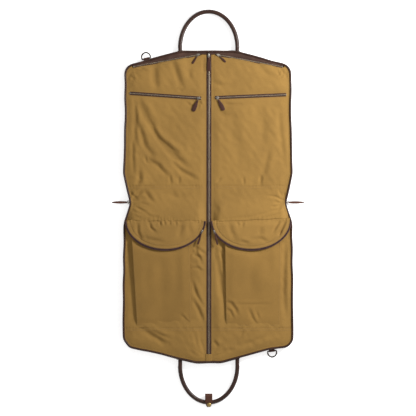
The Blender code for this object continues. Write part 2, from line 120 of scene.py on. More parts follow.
# Where the cloth edge lies a little off the plain outline: x, y, reach, and the shift.
EDGE_NUDGES = [
    (-0.215, -0.483, 0.050, 0.000, -0.0060),
    (-0.120, -0.508, 0.050, 0.000, -0.0035),
    (-0.286, -0.462, 0.016, 0.0040, 0.0035),
    (0.288, -0.466, 0.014, -0.0020, 0.0020),
    (-0.150, 0.520, 0.060, 0.000, 0.0015),
    (0.150, 0.520, 0.060, 0.000, 0.0015),
]
EDGE_WAVES, EDGE_WAVE = 23, 0.0007      # how many slight waves the edge has, and their height
HANDLE_ROOT, ROOT_REACH = 0.12, 0.06    # no waves this near the handles' ends


def cloth_edge():
    """The outline of the bag with its nudges and slight waves."""
    loop = smooth_loop(resample(panel_edge(), LOOP_POINTS, True), 3)
    for x, y, reach, dx, dy in EDGE_NUDGES:
        near = np.exp(-(((loop[:, 0] - x) ** 2 + (loop[:, 1] - y) ** 2) / reach**2))
        loop = loop + np.column_stack([near * dx, near * dy])
    along = directions(loop, True)
    at = np.arange(LOOP_POINTS)
    wave = np.sin(at * 2 * math.pi * EDGE_WAVES / LOOP_POINTS + 2.0 * np.sin(at * 0.0314))
    still = np.clip((np.abs(np.abs(loop[:, 0]) - HANDLE_ROOT) - ROOT_REACH) / 0.03, 0, 1)
    return loop + np.column_stack([along[:, 1], -along[:, 0]]) * (EDGE_WAVE * wave * still)[:, None]


EDGE_LOOP = cloth_edge()


def edge(inset):
    """The bag's edge, moved inwards from the outside of its piping."""
    along = directions(EDGE_LOOP, True)
    outwards = np.stack([along[:, 1], -along[:, 0]], 1)
    return EDGE_LOOP + outwards * (PANEL_INSET - inset)


def distance_to(line, x, y):
    """The distance from each point to the nearest point of a dense line."""
    found = np.full(x.shape, 9.0)
    for px, py in line:
        np.minimum(found, (x - px) ** 2 + (y - py) ** 2, out=found)
    return np.sqrt(found)


def step(t):
    t = np.clip(t, 0, 1)
    return t * t * (3 - 2 * t)


# ---------------------------------------------------------------- meshes
def piece(name, verts, faces, material, smooth=True, materials=None, face_slots=None):
    mesh = bpy.data.meshes.new(name)
    mesh.from_pydata([tuple(v) for v in np.asarray(verts, float)], [], [tuple(f) for f in faces])
    made = bpy.data.objects.new(name, mesh)
    bpy.context.scene.collection.objects.link(made)
    for m in materials or [material]:
        mesh.materials.append(m)
    if face_slots is not None:
        mesh.polygons.foreach_set("material_index", np.asarray(face_slots, int))
    if smooth:
        mesh.shade_smooth()
    return made


def joined(parts):
    """Several (verts, faces) as one."""
    verts, faces, start = [], [], 0
    for v, f in parts:
        v = np.asarray(v, float)
        verts.append(v)
        faces += [tuple(int(i) + start for i in face) for face in f]
        start += len(v)
    return np.concatenate(verts), faces


def grid_faces(rows, columns, wrap_rows=False, wrap_columns=False, flip=False):
    faces = []
    for i in range(rows if wrap_rows else rows - 1):
        for j in range(columns if wrap_columns else columns - 1):
            a, b = i * columns + j, i * columns + (j + 1) % columns
            c, d = ((i + 1) % rows) * columns + (j + 1) % columns, ((i + 1) % rows) * columns + j
            faces.append((a, d, c, b) if flip else (a, b, c, d))
    return faces


def capped_faces(rows, columns):
    """A grid closed round its columns, with both ends filled."""
    ends = [tuple(range(columns))[::-1], tuple((rows - 1) * columns + k for k in range(columns))]
    return grid_faces(rows, columns, wrap_columns=True) + ends


def belongs(made, body, slot=None, *nodes):
    """The body that a piece rides on, its material slot (not used), and the CAD nodes it stands for,
    which it hides.
    """
    if nodes:
        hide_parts(*nodes)
    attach(made, body)
    return made


def follow(path, profile, closed=False, scales=None):
    """A profile of (sideways, up) points carried along a path of x, y, z points."""
    path = np.asarray(path, float)
    along = directions(path, closed)
    side = np.cross(along, [0, 0, 1.0])
    side /= np.linalg.norm(side, axis=1)[:, None]
    up = np.cross(side, along)
    profile = np.asarray(profile, float)
    size = np.ones(len(path)) if scales is None else np.asarray(scales)
    return (
        path[:, None]
        + side[:, None] * (profile[None, :, 0] * size[:, None])[:, :, None]
        + up[:, None] * (profile[None, :, 1] * size[:, None])[:, :, None]
    )


def tube(path, profile, closed=False, scales=None):
    rings = follow(path, profile, closed, scales)
    rows, columns = rings.shape[:2]
    faces = grid_faces(rows, columns, True, True) if closed else capped_faces(rows, columns)
    return rings.reshape(-1, 3), [f[::-1] for f in faces]


def ribbon(path, profile, closed=False):
    rings = follow(path, profile, closed)
    rows, columns = rings.shape[:2]
    return rings.reshape(-1, 3), grid_faces(rows, columns, closed, flip=True)


def turns(count):
    """Even angles round a circle."""
    return [2 * math.pi * k / count for k in range(count)]


def ring(radius, sides, squash=1.0):
    t = np.arange(sides) * 2 * math.pi / sides
    return np.stack([radius * np.cos(t), radius * squash * np.sin(t)], 1)


def copies(template, faces, centres, along, up=(0, 0, 1)):
    """A small shape repeated: its x runs along each direction and its z is up."""
    centres, along = np.asarray(centres, float), np.asarray(along, float)
    side = np.cross(np.broadcast_to(up, along.shape), along)
    side /= np.linalg.norm(side, axis=1)[:, None]
    over = np.cross(along, side)
    t = np.asarray(template, float)
    verts = (
        centres[:, None]
        + along[:, None] * t[None, :, 0:1]
        + side[:, None] * t[None, :, 1:2]
        + over[:, None] * t[None, :, 2:3]
    )
    count = len(t)
    moved = [tuple(i + k * count for i in f) for k in range(len(centres)) for f in faces]
    return verts.reshape(-1, 3), moved


def spaced(line, pitch):
    """Even places along a line, with the direction at each."""
    line = np.asarray(line, float)
    length = np.linalg.norm(np.diff(line, axis=0), axis=1).sum()
    count = max(2, int(length / pitch) + 1)
    at = resample(line, count)
    return at, directions(at)


# ---------------------------------------------------------------- materials
class Nodes:
    """A short way to write a material's nodes."""

    def __init__(self, name):
        self.material = bpy.data.materials.new(name)
        self.material.use_nodes = True
        self.tree = self.material.node_tree
        self.shader = self.tree.nodes["Principled BSDF"]
        self.place = self.add("ShaderNodeTexCoord").outputs["Object"]

    def add(self, kind, **values):
        node = self.tree.nodes.new(kind)
        for key, value in values.items():
            if hasattr(node, key):
                setattr(node, key, value)
            else:
                node.inputs[key.replace("_", " ").title()].default_value = value
        return node

    def link(self, source, target):
        self.tree.links.new(source, target)

    def noise(self, scale, detail=3.0, rough=0.55, stretch=(1, 1, 1)):
        mapping = self.add("ShaderNodeMapping")
        mapping.inputs["Scale"].default_value = stretch
        self.link(self.place, mapping.inputs["Vector"])
        node = self.add("ShaderNodeTexNoise")
        node.inputs["Scale"].default_value = scale
        node.inputs["Detail"].default_value = detail
        node.inputs["Roughness"].default_value = rough
        self.link(mapping.outputs["Vector"], node.inputs["Vector"])
        return node.outputs["Fac"]

    def wave(self, scale, turn=0.0, distortion=0.0):
        mapping = self.add("ShaderNodeMapping")
        mapping.inputs["Rotation"].default_value = (0, 0, turn)
        self.link(self.place, mapping.inputs["Vector"])
        node = self.add("ShaderNodeTexWave")
        node.inputs["Scale"].default_value = scale
        node.inputs["Distortion"].default_value = distortion
        self.link(mapping.outputs["Vector"], node.inputs["Vector"])
        return node.outputs["Fac"]

    def voronoi(self, scale):
        node = self.add("ShaderNodeTexVoronoi")
        node.inputs["Scale"].default_value = scale
        self.link(self.place, node.inputs["Vector"])
        return node.outputs["Distance"]

    def ramp(self, value, stops):
        node = self.add("ShaderNodeValToRGB")
        while len(node.color_ramp.elements) < len(stops):
            node.color_ramp.elements.new(0.5)
        for element, (at, colour) in zip(node.color_ramp.elements, stops):
            element.position = at
            element.color = (*colour, 1)
        self.link(value, node.inputs["Fac"])
        return node.outputs["Color"]

    def mix(self, share, one, two, kind="MIX"):
        node = self.add("ShaderNodeMix")
        node.data_type = "RGBA"
        node.blend_type = kind
        factor, first, second = (node.inputs[k] for k in (0, 6, 7))
        for socket, value in ((factor, share), (first, one), (second, two)):
            if isinstance(value, (int, float)):
                socket.default_value = value
            elif isinstance(value, tuple):
                socket.default_value = (*value, 1)
            else:
                self.link(value, socket)
        return node.outputs[2]

    def bump(self, value, distance, strength=1.0, below=None):
        node = self.add("ShaderNodeBump")
        node.inputs["Strength"].default_value = strength
        node.inputs["Distance"].default_value = distance
        self.link(value, node.inputs["Height"])
        if below is not None:
            self.link(below, node.inputs["Normal"])
        return node.outputs["Normal"]

    def span(self, value, low, high):
        node = self.add("ShaderNodeMapRange")
        node.inputs["To Min"].default_value = low
        node.inputs["To Max"].default_value = high
        self.link(value, node.inputs["Value"])
        return node.outputs["Result"]

    def done(self, colour, roughness, normal, gloss=0.5, **fixed):
        self.link(colour, self.shader.inputs["Base Color"])
        self.link(roughness, self.shader.inputs["Roughness"])
        self.link(normal, self.shader.inputs["Normal"])
        for key, value in fixed.items():
            self.shader.inputs[key.replace("_", " ").title()].default_value = value
        self.shader.inputs["Specular IOR Level"].default_value = gloss
        return self.material


WHITE = (1, 1, 1)


def shade(colour, by):
    return tuple(c * by for c in colour)


def canvas_material(name, colour):
    """Cotton twill: a fine diagonal rib, slubs, and uneven dye."""
    n = Nodes(name)
    patches = n.noise(7.0, 4.0, 0.6)
    dye = n.ramp(patches, [(0.30, shade(colour, 0.90)), (0.70, shade(colour, 1.09))])
    fibres = n.noise(900.0, 2.0, 0.7, (1, 0.35, 1))
    dye = n.mix(0.30, dye, n.ramp(fibres, [(0.3, shade(WHITE, 0.72)), (0.7, WHITE)]), "MULTIPLY")
    rib = n.wave(330.0, math.radians(18), 0.6)
    dye = n.mix(0.16, dye, n.ramp(rib, [(0.2, shade(WHITE, 0.55)), (0.8, WHITE)]), "MULTIPLY")
    normal = n.bump(rib, 0.00018, 0.7)
    normal = n.bump(n.noise(260.0, 3.0, 0.6), 0.0003, 0.5, normal)
    rough = n.span(patches, 0.78, 0.93)
    return n.done(dye, rough, normal, 0.12, Sheen_Weight=0.04, Sheen_Roughness=0.6)


def leather_material(name, colour, gloss=0.42):
    """Dark bridle leather: pores, fine creases, and rubbed lighter spots."""
    n = Nodes(name)
    cloud = n.noise(28.0, 4.0, 0.6)
    tint = n.ramp(cloud, [(0.32, shade(colour, 0.70)), (0.62, colour), (0.80, shade(colour, 1.7))])
    pores = n.voronoi(900.0)
    normal = n.bump(pores, 0.00025, 0.5)
    normal = n.bump(n.noise(320.0, 4.0, 0.6), 0.0004, 0.45, normal)
    return n.done(tint, n.span(cloud, gloss - 0.08, gloss + 0.16), normal, 0.28)


def metal_material(name, colour, rough=0.30):
    """Plated metal with dull patches and fine scratches."""
    n = Nodes(name)
    cloud = n.noise(160.0, 3.0, 0.6)
    tint = n.ramp(cloud, [(0.3, shade(colour, 0.72)), (0.7, colour)])
    normal = n.bump(n.noise(1400.0, 2.0, 0.6, (1, 0.1, 1)), 0.00008, 0.4)
    n.shader.inputs["Metallic"].default_value = 1.0
    return n.done(tint, n.span(cloud, rough - 0.08, rough + 0.14), normal)


def tape_material(name, colour):
    """Woven zip tape with a fine grain and uneven tone."""
    n = Nodes(name)
    cloud = n.noise(60.0, 3.0, 0.6)
    tint = n.ramp(cloud, [(0.3, shade(colour, 0.75)), (0.7, shade(colour, 1.2))])
    normal = n.bump(n.noise(800.0, 2.0, 0.7), 0.0003, 0.7)
    return n.done(tint, n.span(cloud, 0.62, 0.8), normal, 0.15, Sheen_Weight=0.04)


CANVAS = canvas_material("canvas_twill", (0.325, 0.184, 0.048))
CANVAS_FLAP = canvas_material("canvas_flap", (0.325, 0.184, 0.049))
CANVAS_POCKET = canvas_material("canvas_pocket", (0.305, 0.171, 0.044))
LINING = canvas_material("lining_cloth", (0.10, 0.065, 0.032))
THREAD = tape_material("thread", (0.30, 0.185, 0.070))
THREAD_DARK = tape_material("thread_brown", (0.060, 0.034, 0.022))
LEATHER = leather_material("leather_brown", (0.046, 0.0190, 0.0115))
# The yoke band's leather is the brown leather made lighter: partly its own tone, partly a painted
# highlight.
LEATHER_YOKE_HIGHLIT = leather_material("leather_yoke_painted_highlight", (0.070, 0.034, 0.023), 0.38)
LEATHER_HANDLE = leather_material("leather_handle", (0.046, 0.0210, 0.0145), 0.30)
LEATHER_SIDE = leather_material("leather_side", (0.105, 0.040, 0.024), 0.48)
LEATHER_STRAP = leather_material("leather_strap", (0.085, 0.031, 0.017), 0.46)
LEATHER_PULL = leather_material("leather_pull", (0.062, 0.0215, 0.0140), 0.45)
TAPE = tape_material("zip_tape_brown", (0.050, 0.024, 0.018))
TAPE_FLAP = tape_material("zip_tape_flap", (0.085, 0.044, 0.042))
TEETH = metal_material("zip_teeth", (0.62, 0.52, 0.39), 0.42)
COIL = metal_material("dark_coil", (0.10, 0.07, 0.065), 0.5)
NICKEL = metal_material("aged_nickel", (0.44, 0.40, 0.34), 0.34)
GUNMETAL = metal_material("ring_wire", (0.060, 0.044, 0.033), 0.45)
BRASS = metal_material("antique_brass", (0.50, 0.35, 0.13), 0.36)


# ---------------------------------------------------------------- the canvas surface
CREASE_STEP = 0.0025            # how finely a crease's line is followed


def crease(x, y, line, depth, width, ridge=0.5):
    """A valley along a line that fades at both ends, with a softer ridge on its left."""
    line = np.asarray(line, float)
    length = np.linalg.norm(np.diff(line, axis=0), axis=1).sum()
    line = resample(line, max(12, int(length / CREASE_STEP)))
    along = directions(line)
    reach = 5 * width
    low, high = line.min(0) - reach, line.max(0) + reach
    close = (x > low[0]) & (x < high[0]) & (y > low[1]) & (y < high[1])
    found = np.zeros(x.shape)
    if not close.any():
        return found
    dx = x[close][:, None] - line[:, 0]
    dy = y[close][:, None] - line[:, 1]
    nearest = np.argmin(dx**2 + dy**2, axis=1)
    rows = np.arange(len(nearest))
    dx, dy, way = dx[rows, nearest], dy[rows, nearest], along[nearest]
    signed = dx * -way[:, 1] + dy * way[:, 0]
    beyond = dx * way[:, 0] + dy * way[:, 1]
    share = nearest / (len(line) - 1)
    fade = np.sqrt(np.sin(np.pi * np.clip(share, 0.02, 0.98))) * np.exp(-((beyond / width) ** 2))
    valley = np.exp(-((signed / width) ** 2))
    hill = np.exp(-(((signed - 1.7 * width) / (1.2 * width)) ** 2)) * ridge
    found[close] = depth * fade * (hill - valley)
    return found


def soft_waves(x, y, seed, low, high, count, slope=1.0):
    """Long uneven swells: a sum of plane waves of mixed lengths and directions."""
    random = np.random.default_rng(seed)
    total = np.zeros(x.shape)
    for _ in range(count):
        length = random.uniform(low, high)
        turn = random.uniform(0, math.pi)
        phase = random.uniform(0, 2 * math.pi)
        k = 2 * math.pi / length
        total += np.sin(k * (x * math.cos(turn) + slope * y * math.sin(turn)) + phase)
    return total / math.sqrt(count)


# Valleys in the front canvas, as lines of (x, y), with depth and width in millimetres.
FRONT_CREASES = [
    ([(-0.180, 0.490), (-0.184, 0.450), (-0.176, 0.408)], 2.6, 13),
    ([(-0.122, 0.502), (-0.108, 0.460), (-0.090, 0.415)], 2.4, 11),
    ([(-0.066, 0.478), (-0.060, 0.440)], 1.6, 9),
    ([(-0.014, 0.512), (-0.015, 0.462)], 2.0, 5),
    ([(-0.262, 0.464), (-0.225, 0.474), (-0.205, 0.468)], 1.4, 4),
    ([(-0.266, 0.452), (-0.250, 0.438)], 1.6, 4),
    ([(-0.250, 0.372), (-0.247, 0.320), (-0.250, 0.262), (-0.244, 0.215)], 2.8, 7),
    ([(-0.238, 0.376), (-0.228, 0.342), (-0.204, 0.300), (-0.176, 0.268)], 2.6, 12),
    ([(-0.246, 0.310), (-0.226, 0.250), (-0.214, 0.214), (-0.188, 0.176)], 2.4, 9),
    ([(-0.190, 0.262), (-0.148, 0.205), (-0.096, 0.160), (-0.060, 0.128)], 2.0, 10),
    ([(-0.206, 0.165), (-0.170, 0.146), (-0.140, 0.112)], 2.6, 8),
    ([(-0.150, 0.225), (-0.108, 0.172), (-0.070, 0.150)], 1.5, 12),
    ([(-0.214, 0.176), (-0.210, 0.158), (-0.196, 0.150)], 2.2, 4),
    ([(-0.236, 0.132), (-0.232, 0.100), (-0.242, 0.080)], 3.0, 8),
    ([(-0.256, 0.240), (-0.256, 0.170), (-0.252, 0.120)], 1.6, 6),
    ([(-0.130, 0.112), (-0.126, 0.084)], 1.4, 5),
    ([(-0.098, 0.108), (-0.100, 0.084)], 1.2, 5),
    ([(0.014, 0.428), (0.045, 0.416), (0.085, 0.424)], 1.8, 9),
    ([(0.165, 0.492), (0.195, 0.464), (0.214, 0.452)], 1.6, 10),
    ([(0.036, 0.330), (0.060, 0.312), (0.100, 0.322)], 1.6, 10),
    ([(0.236, 0.470), (0.242, 0.452)], 2.2, 3),
    ([(0.252, 0.470), (0.262, 0.454)], 2.2, 3),
    ([(0.170, 0.350), (0.190, 0.280), (0.180, 0.200)], 1.2, 16),
    ([(0.090, 0.330), (0.085, 0.250), (0.110, 0.180)], 1.2, 18),
    ([(0.205, 0.200), (0.196, 0.150), (0.184, 0.104)], 1.6, 10),
    ([(0.240, 0.330), (0.250, 0.230), (0.256, 0.150)], 1.4, 9),
    ([(0.120, 0.104), (0.122, 0.082)], 1.4, 4),
    ([(0.180, 0.112), (0.178, 0.082)], 1.6, 5),
    ([(0.046, 0.104), (0.030, 0.092)], 1.4, 5),
    ([(-0.205, 0.300), (-0.170, 0.240), (-0.120, 0.200), (-0.090, 0.181)], 2.4, 8),
    ([(-0.124, 0.158), (-0.090, 0.128), (-0.040, 0.100)], 2.2, 8),
    ([(-0.100, 0.402), (-0.086, 0.404)], 1.5, 4),
    ([(-0.074, 0.362), (-0.060, 0.350), (-0.040, 0.352)], 1.8, 4),
    ([(-0.030, 0.372), (-0.022, 0.352)], 1.6, 4),
    ([(0.061, 0.354), (0.090, 0.352), (0.119, 0.356)], 1.6, 5),
    # across the waist
    ([(-0.266, 0.060), (-0.256, 0.044), (-0.240, 0.030)], 4.2, 5),
    ([(-0.262, 0.034), (-0.250, 0.026)], 3.0, 4),
    ([(-0.262, -0.002), (-0.246, -0.012), (-0.222, -0.020)], 4.4, 4),
    ([(-0.256, -0.020), (-0.242, -0.028), (-0.222, -0.034)], 4.0, 4),
    ([(-0.234, 0.002), (-0.214, -0.012), (-0.196, -0.026), (-0.160, -0.032)], 4.4, 4.5),
    ([(-0.216, 0.060), (-0.200, 0.036), (-0.186, 0.022)], 1.8, 7),
    ([(-0.140, 0.056), (-0.100, 0.036), (-0.060, 0.040)], 1.2, 12),
    ([(0.258, 0.056), (0.262, 0.034)], 4.2, 4),
    ([(0.252, 0.008), (0.230, 0.006), (0.208, 0.008)], 3.0, 3.5),
    ([(0.254, -0.002), (0.220, -0.008), (0.186, -0.018), (0.137, -0.029), (0.060, -0.036)], 3.6, 4.5),
    ([(0.252, -0.014), (0.230, -0.022), (0.196, -0.030)], 2.6, 4),
    ([(0.030, 0.010), (0.034, -0.018)], 1.6, 8),
    # beside and under the pockets
    ([(-0.052, -0.142), (-0.044, -0.160), (-0.030, -0.164), (-0.022, -0.186)], 4.0, 5),
    ([(-0.054, -0.250), (-0.040, -0.290), (-0.020, -0.330)], 2.2, 6),
    ([(-0.050, -0.310), (-0.032, -0.345), (-0.018, -0.385)], 2.6, 7),
    ([(-0.052, -0.205), (-0.036, -0.200), (-0.020, -0.212)], 1.6, 5),
    ([(0.030, -0.170), (0.040, -0.230), (0.046, -0.300)], 2.6, 9),
    ([(0.262, -0.120), (0.258, -0.200), (0.256, -0.290), (0.262, -0.360)], 2.6, 9),
    ([(-0.225, -0.410), (-0.190, -0.432), (-0.140, -0.462)], 2.8, 10),
    ([(-0.186, -0.414), (-0.160, -0.430), (-0.130, -0.440)], 1.6, 6),
    ([(0.020, -0.450), (0.034, -0.470)], 2.0, 6),
    ([(0.200, -0.430), (0.150, -0.455), (0.090, -0.470)], 1.4, 9),
    ([(0.120, -0.415), (0.110, -0.432)], 1.2, 5),
]


def fan(seed, tip, turns, lengths, count, depths, widths):
    """Wrinkles that run out from a point where the cloth is pulled together."""
    random = np.random.default_rng(seed)
    found = []
    for k in range(count):
        turn = math.radians(np.interp(k, [0, count - 1], turns) + random.uniform(-4, 4))
        start = random.uniform(0.006, 0.020)
        length = random.uniform(*lengths)
        bend = random.uniform(-0.35, 0.35)
        line = []
        for t in np.linspace(0, 1, 5):
            reach, angle = start + length * t, turn + bend * t
            line.append((tip[0] + reach * math.cos(angle), tip[1] + reach * math.sin(angle)))
        found.append((line, random.uniform(*depths), random.uniform(*widths)))
    return found


FRONT_CREASES += fan(2, (-0.268, 0.021), (58, -48), (0.022, 0.060), 11, (1.3, 2.4), (3.4, 6.0))
FRONT_CREASES += fan(5, (0.268, 0.021), (128, 222), (0.020, 0.055), 10, (1.0, 2.0), (3.2, 5.5))
FRONT_CREASES += fan(9, (-0.020, 0.388), (196, 250), (0.016, 0.040), 5, (0.7, 1.3), (3.0, 5.0))
FRONT_CREASES += fan(12, (-0.046, -0.118), (262, 300), (0.020, 0.055), 4, (0.9, 1.6), (4.0, 6.0))
FRONT_CREASES += fan(14, (0.030, -0.120), (250, 290), (0.020, 0.060), 3, (0.9, 1.6), (4.0, 6.0))
FRONT_CREASES += fan(17, (-0.003, -0.505), (112, 168), (0.030, 0.080), 5, (0.6, 1.2), (4.0, 7.0))
FRONT_CREASES += fan(18, (0.009, -0.505), (68, 14), (0.030, 0.070), 4, (0.5, 1.0), (4.0, 7.0))
FRONT_CREASES += fan(21, (-0.262, 0.478), (-95, -20), (0.012, 0.030), 5, (0.8, 1.5), (2.8, 4.2))
FRONT_CREASES += fan(22, (0.262, 0.478), (-160, -85), (0.010, 0.026), 5, (0.8, 1.4), (2.8, 4.0))
FRONT_RELIEF = 1.9             # how strongly the creases stand out


def seam_at(x):
    """The flaps' upper seam: level on the left, and rising to the right."""
    left = -0.0010 + 0.0011 * np.sin(x * 71) + 0.0008 * np.sin(x * 173 + 1)
    right = -0.0022 + 0.0085 * step((x - 0.03) / 0.24) + 0.0007 * np.sin(x * 90)
    return FLAP_Y + np.where(x < 0, left, right)


def gathers(x, y):
    """Small upright puckers on both sides of the flaps' seam."""
    away = np.abs(y - seam_at(x))
    ripple = np.sin(2 * math.pi * x / 0.0125 + 2.6 * np.sin(x * 47))
    ripple = ripple + 0.7 * np.sin(x * 911 + 4 * np.sin(x * 29))
    strength = np.where(x < 0, 1.0, 0.45) * (0.6 + 0.4 * np.sin(x * 37 + 1.3))
    return 0.00085 * ripple * strength * np.exp(-((away / 0.0105) ** 2))


def pocket_rise(x, y, z):
    """The waist canvas climbs to the flaps' seam, and drops away behind them."""
    seam = seam_at(x)
    climb = step((0.052 - y) / 0.080) * (1 - step((seam - 0.001 - y) / 0.008))
    across = step((np.abs(x - ZIP_X) - 0.010) / 0.030) * (1 - step((np.abs(x) - 0.248) / 0.034))
    share = climb * across
    top = FLAP_Z - 0.0006 + 0.45 * (z - FRONT_Z - 0.0024)
    return z + (np.maximum(top, z) - z) * share


def chest_line(word):
    low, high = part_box(f"chest_zip_{word}")
    side = -1 if word == "left" else 1
    inner, outer = (high, low) if side < 0 else (low, high)
    half = 0.005
    return np.array([[inner[0], low[1] + half], [outer[0], high[1] - half]])


CHEST_Z = FRONT_Z + 0.0012      # the chest zips' tapes
# Where pulls lie on the canvas, so that it stays low: x, y and reach.
FLAT_SPOTS = [(-0.040, 0.345, 0.024), (0.038, 0.345, 0.024)]
FLAT_SPOTS += [(-0.042, 0.506, 0.018), (0.044, 0.506, 0.018)]


def seam_dip(distance, x, y, depth=0.9 * MM, width=3 * MM, pucker=0.35 * MM):
    """Stitching pulls the cloth down along a line and puckers it beside."""
    near = np.exp(-((distance / width) ** 2))
    beside = np.exp(-((distance / (3.2 * width)) ** 2))
    ripple = np.sin(2 * math.pi * x / 0.0085 + 3 * np.sin(x * 61)) + np.sin(
        2 * math.pi * y / 0.0091 + 3 * np.sin(y * 53 + x * 40)
    )
    patches = np.sin(41 * x + 1.0 + 2 * np.sin(17 * y)) * np.cos(33 * y + 3 * np.sin(23 * x))
    uneven = 0.5 + 0.5 * patches
    return -depth * near + pucker * beside * ripple * uneven * 0.9


EDGE_SPARSE = edge(0.0)[::4]
# Beside each pocket the canvas dips: how far out from the pocket's left edge, and how wide.
POCKET_DIPS = {"left": (0.009, 0.014), "right": (0.005, 0.012)}
POCKET_DIP = 0.0021
ZIP_SEAMS = (0.0090, 0.0170)    # stitch rows beside the centre zip
EDGE_SEAM = 0.0125              # the dip that the stitch row inside the piping leaves
CHEST_SEAM = 0.0085             # stitch rows beside a chest zip


def front_height(x, y):
    """The height of the front canvas over any place in the plan."""
    x, y = np.asarray(x, float), np.asarray(y, float)
    from_edge = distance_to(EDGE_SPARSE, x, y)
    from_zip = np.abs(x - ZIP_X)
    room = step((from_edge - 0.006) / 0.035) * step((from_zip - 0.006) / 0.030)
    from_chest = {w: distance_to(resample(chest_line(w), 60), x, y) for w in WORDS}
    for word in WORDS:
        room = room * (0.25 + 0.75 * step((from_chest[word] - 0.004) / 0.030))
    for tip_x, tip_y, reach in FLAT_SPOTS:
        away = np.hypot(x - tip_x, y - tip_y) - reach
        room = room * (0.25 + 0.75 * step(away / 0.030))
    z = FRONT_Z + 0.0002 + 0.0032 * room
    z = z + 0.0010 * room * soft_waves(x, y, 3, 0.07, 0.20, 9, 0.6)
    z = z + 0.00035 * room * soft_waves(x, y, 8, 0.018, 0.045, 12)
    relief = np.zeros(x.shape)
    for line, depth, width in FRONT_CREASES:
        relief = relief + crease(x, y, line, min(depth, 0.33 * width) * MM, width * MM)
    keep = step((from_edge - 0.0065) / 0.008) * step((from_zip - ZIP_HALF) / 0.008)
    for word in WORDS:
        low, _ = pocket_sides(word, y)
        away, wide = POCKET_DIPS[word]
        beside = np.exp(-(((x - low + away) / wide) ** 2))
        beside = beside * step((-0.10 - y) / 0.03) * step((y - SEAM_Y) / 0.03)
        relief = relief - POCKET_DIP * beside
    z = z + FRONT_RELIEF * relief * keep
    # A soft floor keeps the deepest folds off the pouches and walls inside.
    floor = FRONT_Z - np.where(y > 0.17, 0.0010, 0.0036)
    soft = floor + 0.001 * np.exp(np.minimum(z - floor - 0.001, 0) / 0.001)
    z = np.where(z > floor + 0.001, z, soft)
    for word in WORDS:
        near = 1 - step((distance_to(resample(chest_line(word), 90), x, y) - 0.0065) / 0.0075)
        z = z + (CHEST_Z - 0.0005 - z) * near
    z = pocket_rise(x, y, z)
    z = z + gathers(x, y) * step((from_zip - 0.012) / 0.02) * step((from_edge - 0.010) / 0.02)
    upper = np.abs(y - UPPER_SEAM_Y - 0.0012 * np.sin(x * 31))
    seams = [(np.abs(from_zip - at), 0.5, 1.6, 0.10) for at in ZIP_SEAMS]
    seams += [(np.abs(from_edge - EDGE_SEAM), 0.7, 2.0, 0.06), (upper, 1.3, 1.9, 0.9)]
    seams += [(np.abs(y - SEAM_Y), 1.2, 1.9, 0.5)]
    seams += [(np.abs(from_chest[w] - CHEST_SEAM), 0.5, 2.0, 0.3) for w in WORDS]
    for distance, depth, width, pucker in seams:
        z = z + seam_dip(distance, x, y, depth * MM, width * MM, pucker * MM)
    return z


def shoulder_line(word):
    """The shoulder zip's middle line, from the centre outwards."""
    low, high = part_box(f"shoulder_zip_{word}")
    side = -1 if word == "left" else 1
    inner, outer = (high[0], low[0]) if side < 0 else (low[0], high[0])
    half = 0.0036
    return np.array([[inner, high[1] - half], [outer, low[1] + half]])


def coons(bottom, top, left, right, columns, rows):
    """A grid that fills four curves: left and right run upwards, bottom and top run across."""
    b, t = resample(bottom, columns), resample(top, columns)
    l, r = resample(left, rows), resample(right, rows)
    u = np.linspace(0, 1, columns)[None, :, None]
    v = np.linspace(0, 1, rows)[:, None, None]
    grid = (1 - v) * b[None] + v * t[None] + (1 - u) * l[:, None] + u * r[:, None]
    corner = (1 - u) * (1 - v) * b[0] + u * (1 - v) * b[-1] + (1 - u) * v * t[0] + u * v * t[-1]
    return grid - corner


YOKE_END = 0.0045               # the leather runs this far past the end of the shoulder zip
YOKE_UNDER = 0.0025             # the canvas stops this far below the shoulder zip's line


def half_outline(side, word, inset):
    """One side of the edge as bottom, side and top curves, from the zip outwards."""
    loop = edge(inset)
    x_zip = ZIP_X + side * (ZIP_HALF - 0.0005)
    own = loop[(loop[:, 0] - x_zip) * side > 0]
    turn = np.arctan2(own[:, 1], own[:, 0] * side)
    own = own[np.argsort(turn)]
    inner, outer = shoulder_line(word)
    along = (outer - inner) / np.linalg.norm(outer - inner)
    normal = np.array([-along[1], along[0]]) * side
    above = (own - inner) @ normal
    past = (own[:, 0] - outer[0]) * side > YOKE_END
    under = own[(above < -YOKE_UNDER) | past]
    corner = int(np.argmax(under[:, 0] * side - under[:, 1]))
    bottom = np.vstack([[x_zip, under[0][1]], under[: corner + 1]])
    right = under[corner:]
    start = np.array([x_zip, inner[1] + 0.0040])
    turn_at = outer + along * YOKE_END - normal * YOKE_UNDER
    inside = [
        inner - along * 0.0070 + normal * YOKE_UNDER,
        inner - along * 0.0035 - normal * YOKE_UNDER,
    ]
    top = np.array([start, *inside, turn_at, under[-1]])
    left = np.array([bottom[0], start])
    return bottom, top, left, right


COLUMNS, ROWS = 84, 320          # the front canvas's grid, on each side of the zip
CLOTH = 0.0008                  # thickness of the canvas
UNDER_PIPING = 0.0058           # the canvas reaches this far in under the piping


def build_front():
    for side, word in SIDES:
        bottom, top, left, right = half_outline(side, word, UNDER_PIPING)
        plan = coons(bottom, top, left, right, COLUMNS, ROWS).reshape(-1, 2)
        verts = np.column_stack([plan, front_height(plan[:, 0], plan[:, 1])])
        faces = grid_faces(ROWS, COLUMNS, flip=side < 0)
        sheet = piece(f"front_canvas_{word}", verts, faces, CANVAS)
        sheet = thicken(sheet, CLOTH)
        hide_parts(f"front_panel_upper_{word}", f"front_panel_lower_{word}")
        over_waist(sheet)


def thicken(made, depth):
    """Gives a sheet its cloth thickness, downwards, and applies it."""
    solid = made.modifiers.new("cloth", "SOLIDIFY")
    solid.thickness = depth
    solid.offset = -1
    apply_all(made)
    return made


def apply_all(made):
    bpy.context.view_layer.update()
    graph = bpy.context.evaluated_depsgraph_get()
    mesh = bpy.data.meshes.new_from_object(made.evaluated_get(graph))
    made.modifiers.clear()
    old = made.data
    made.data = mesh
    mesh.name = old.name
    return made


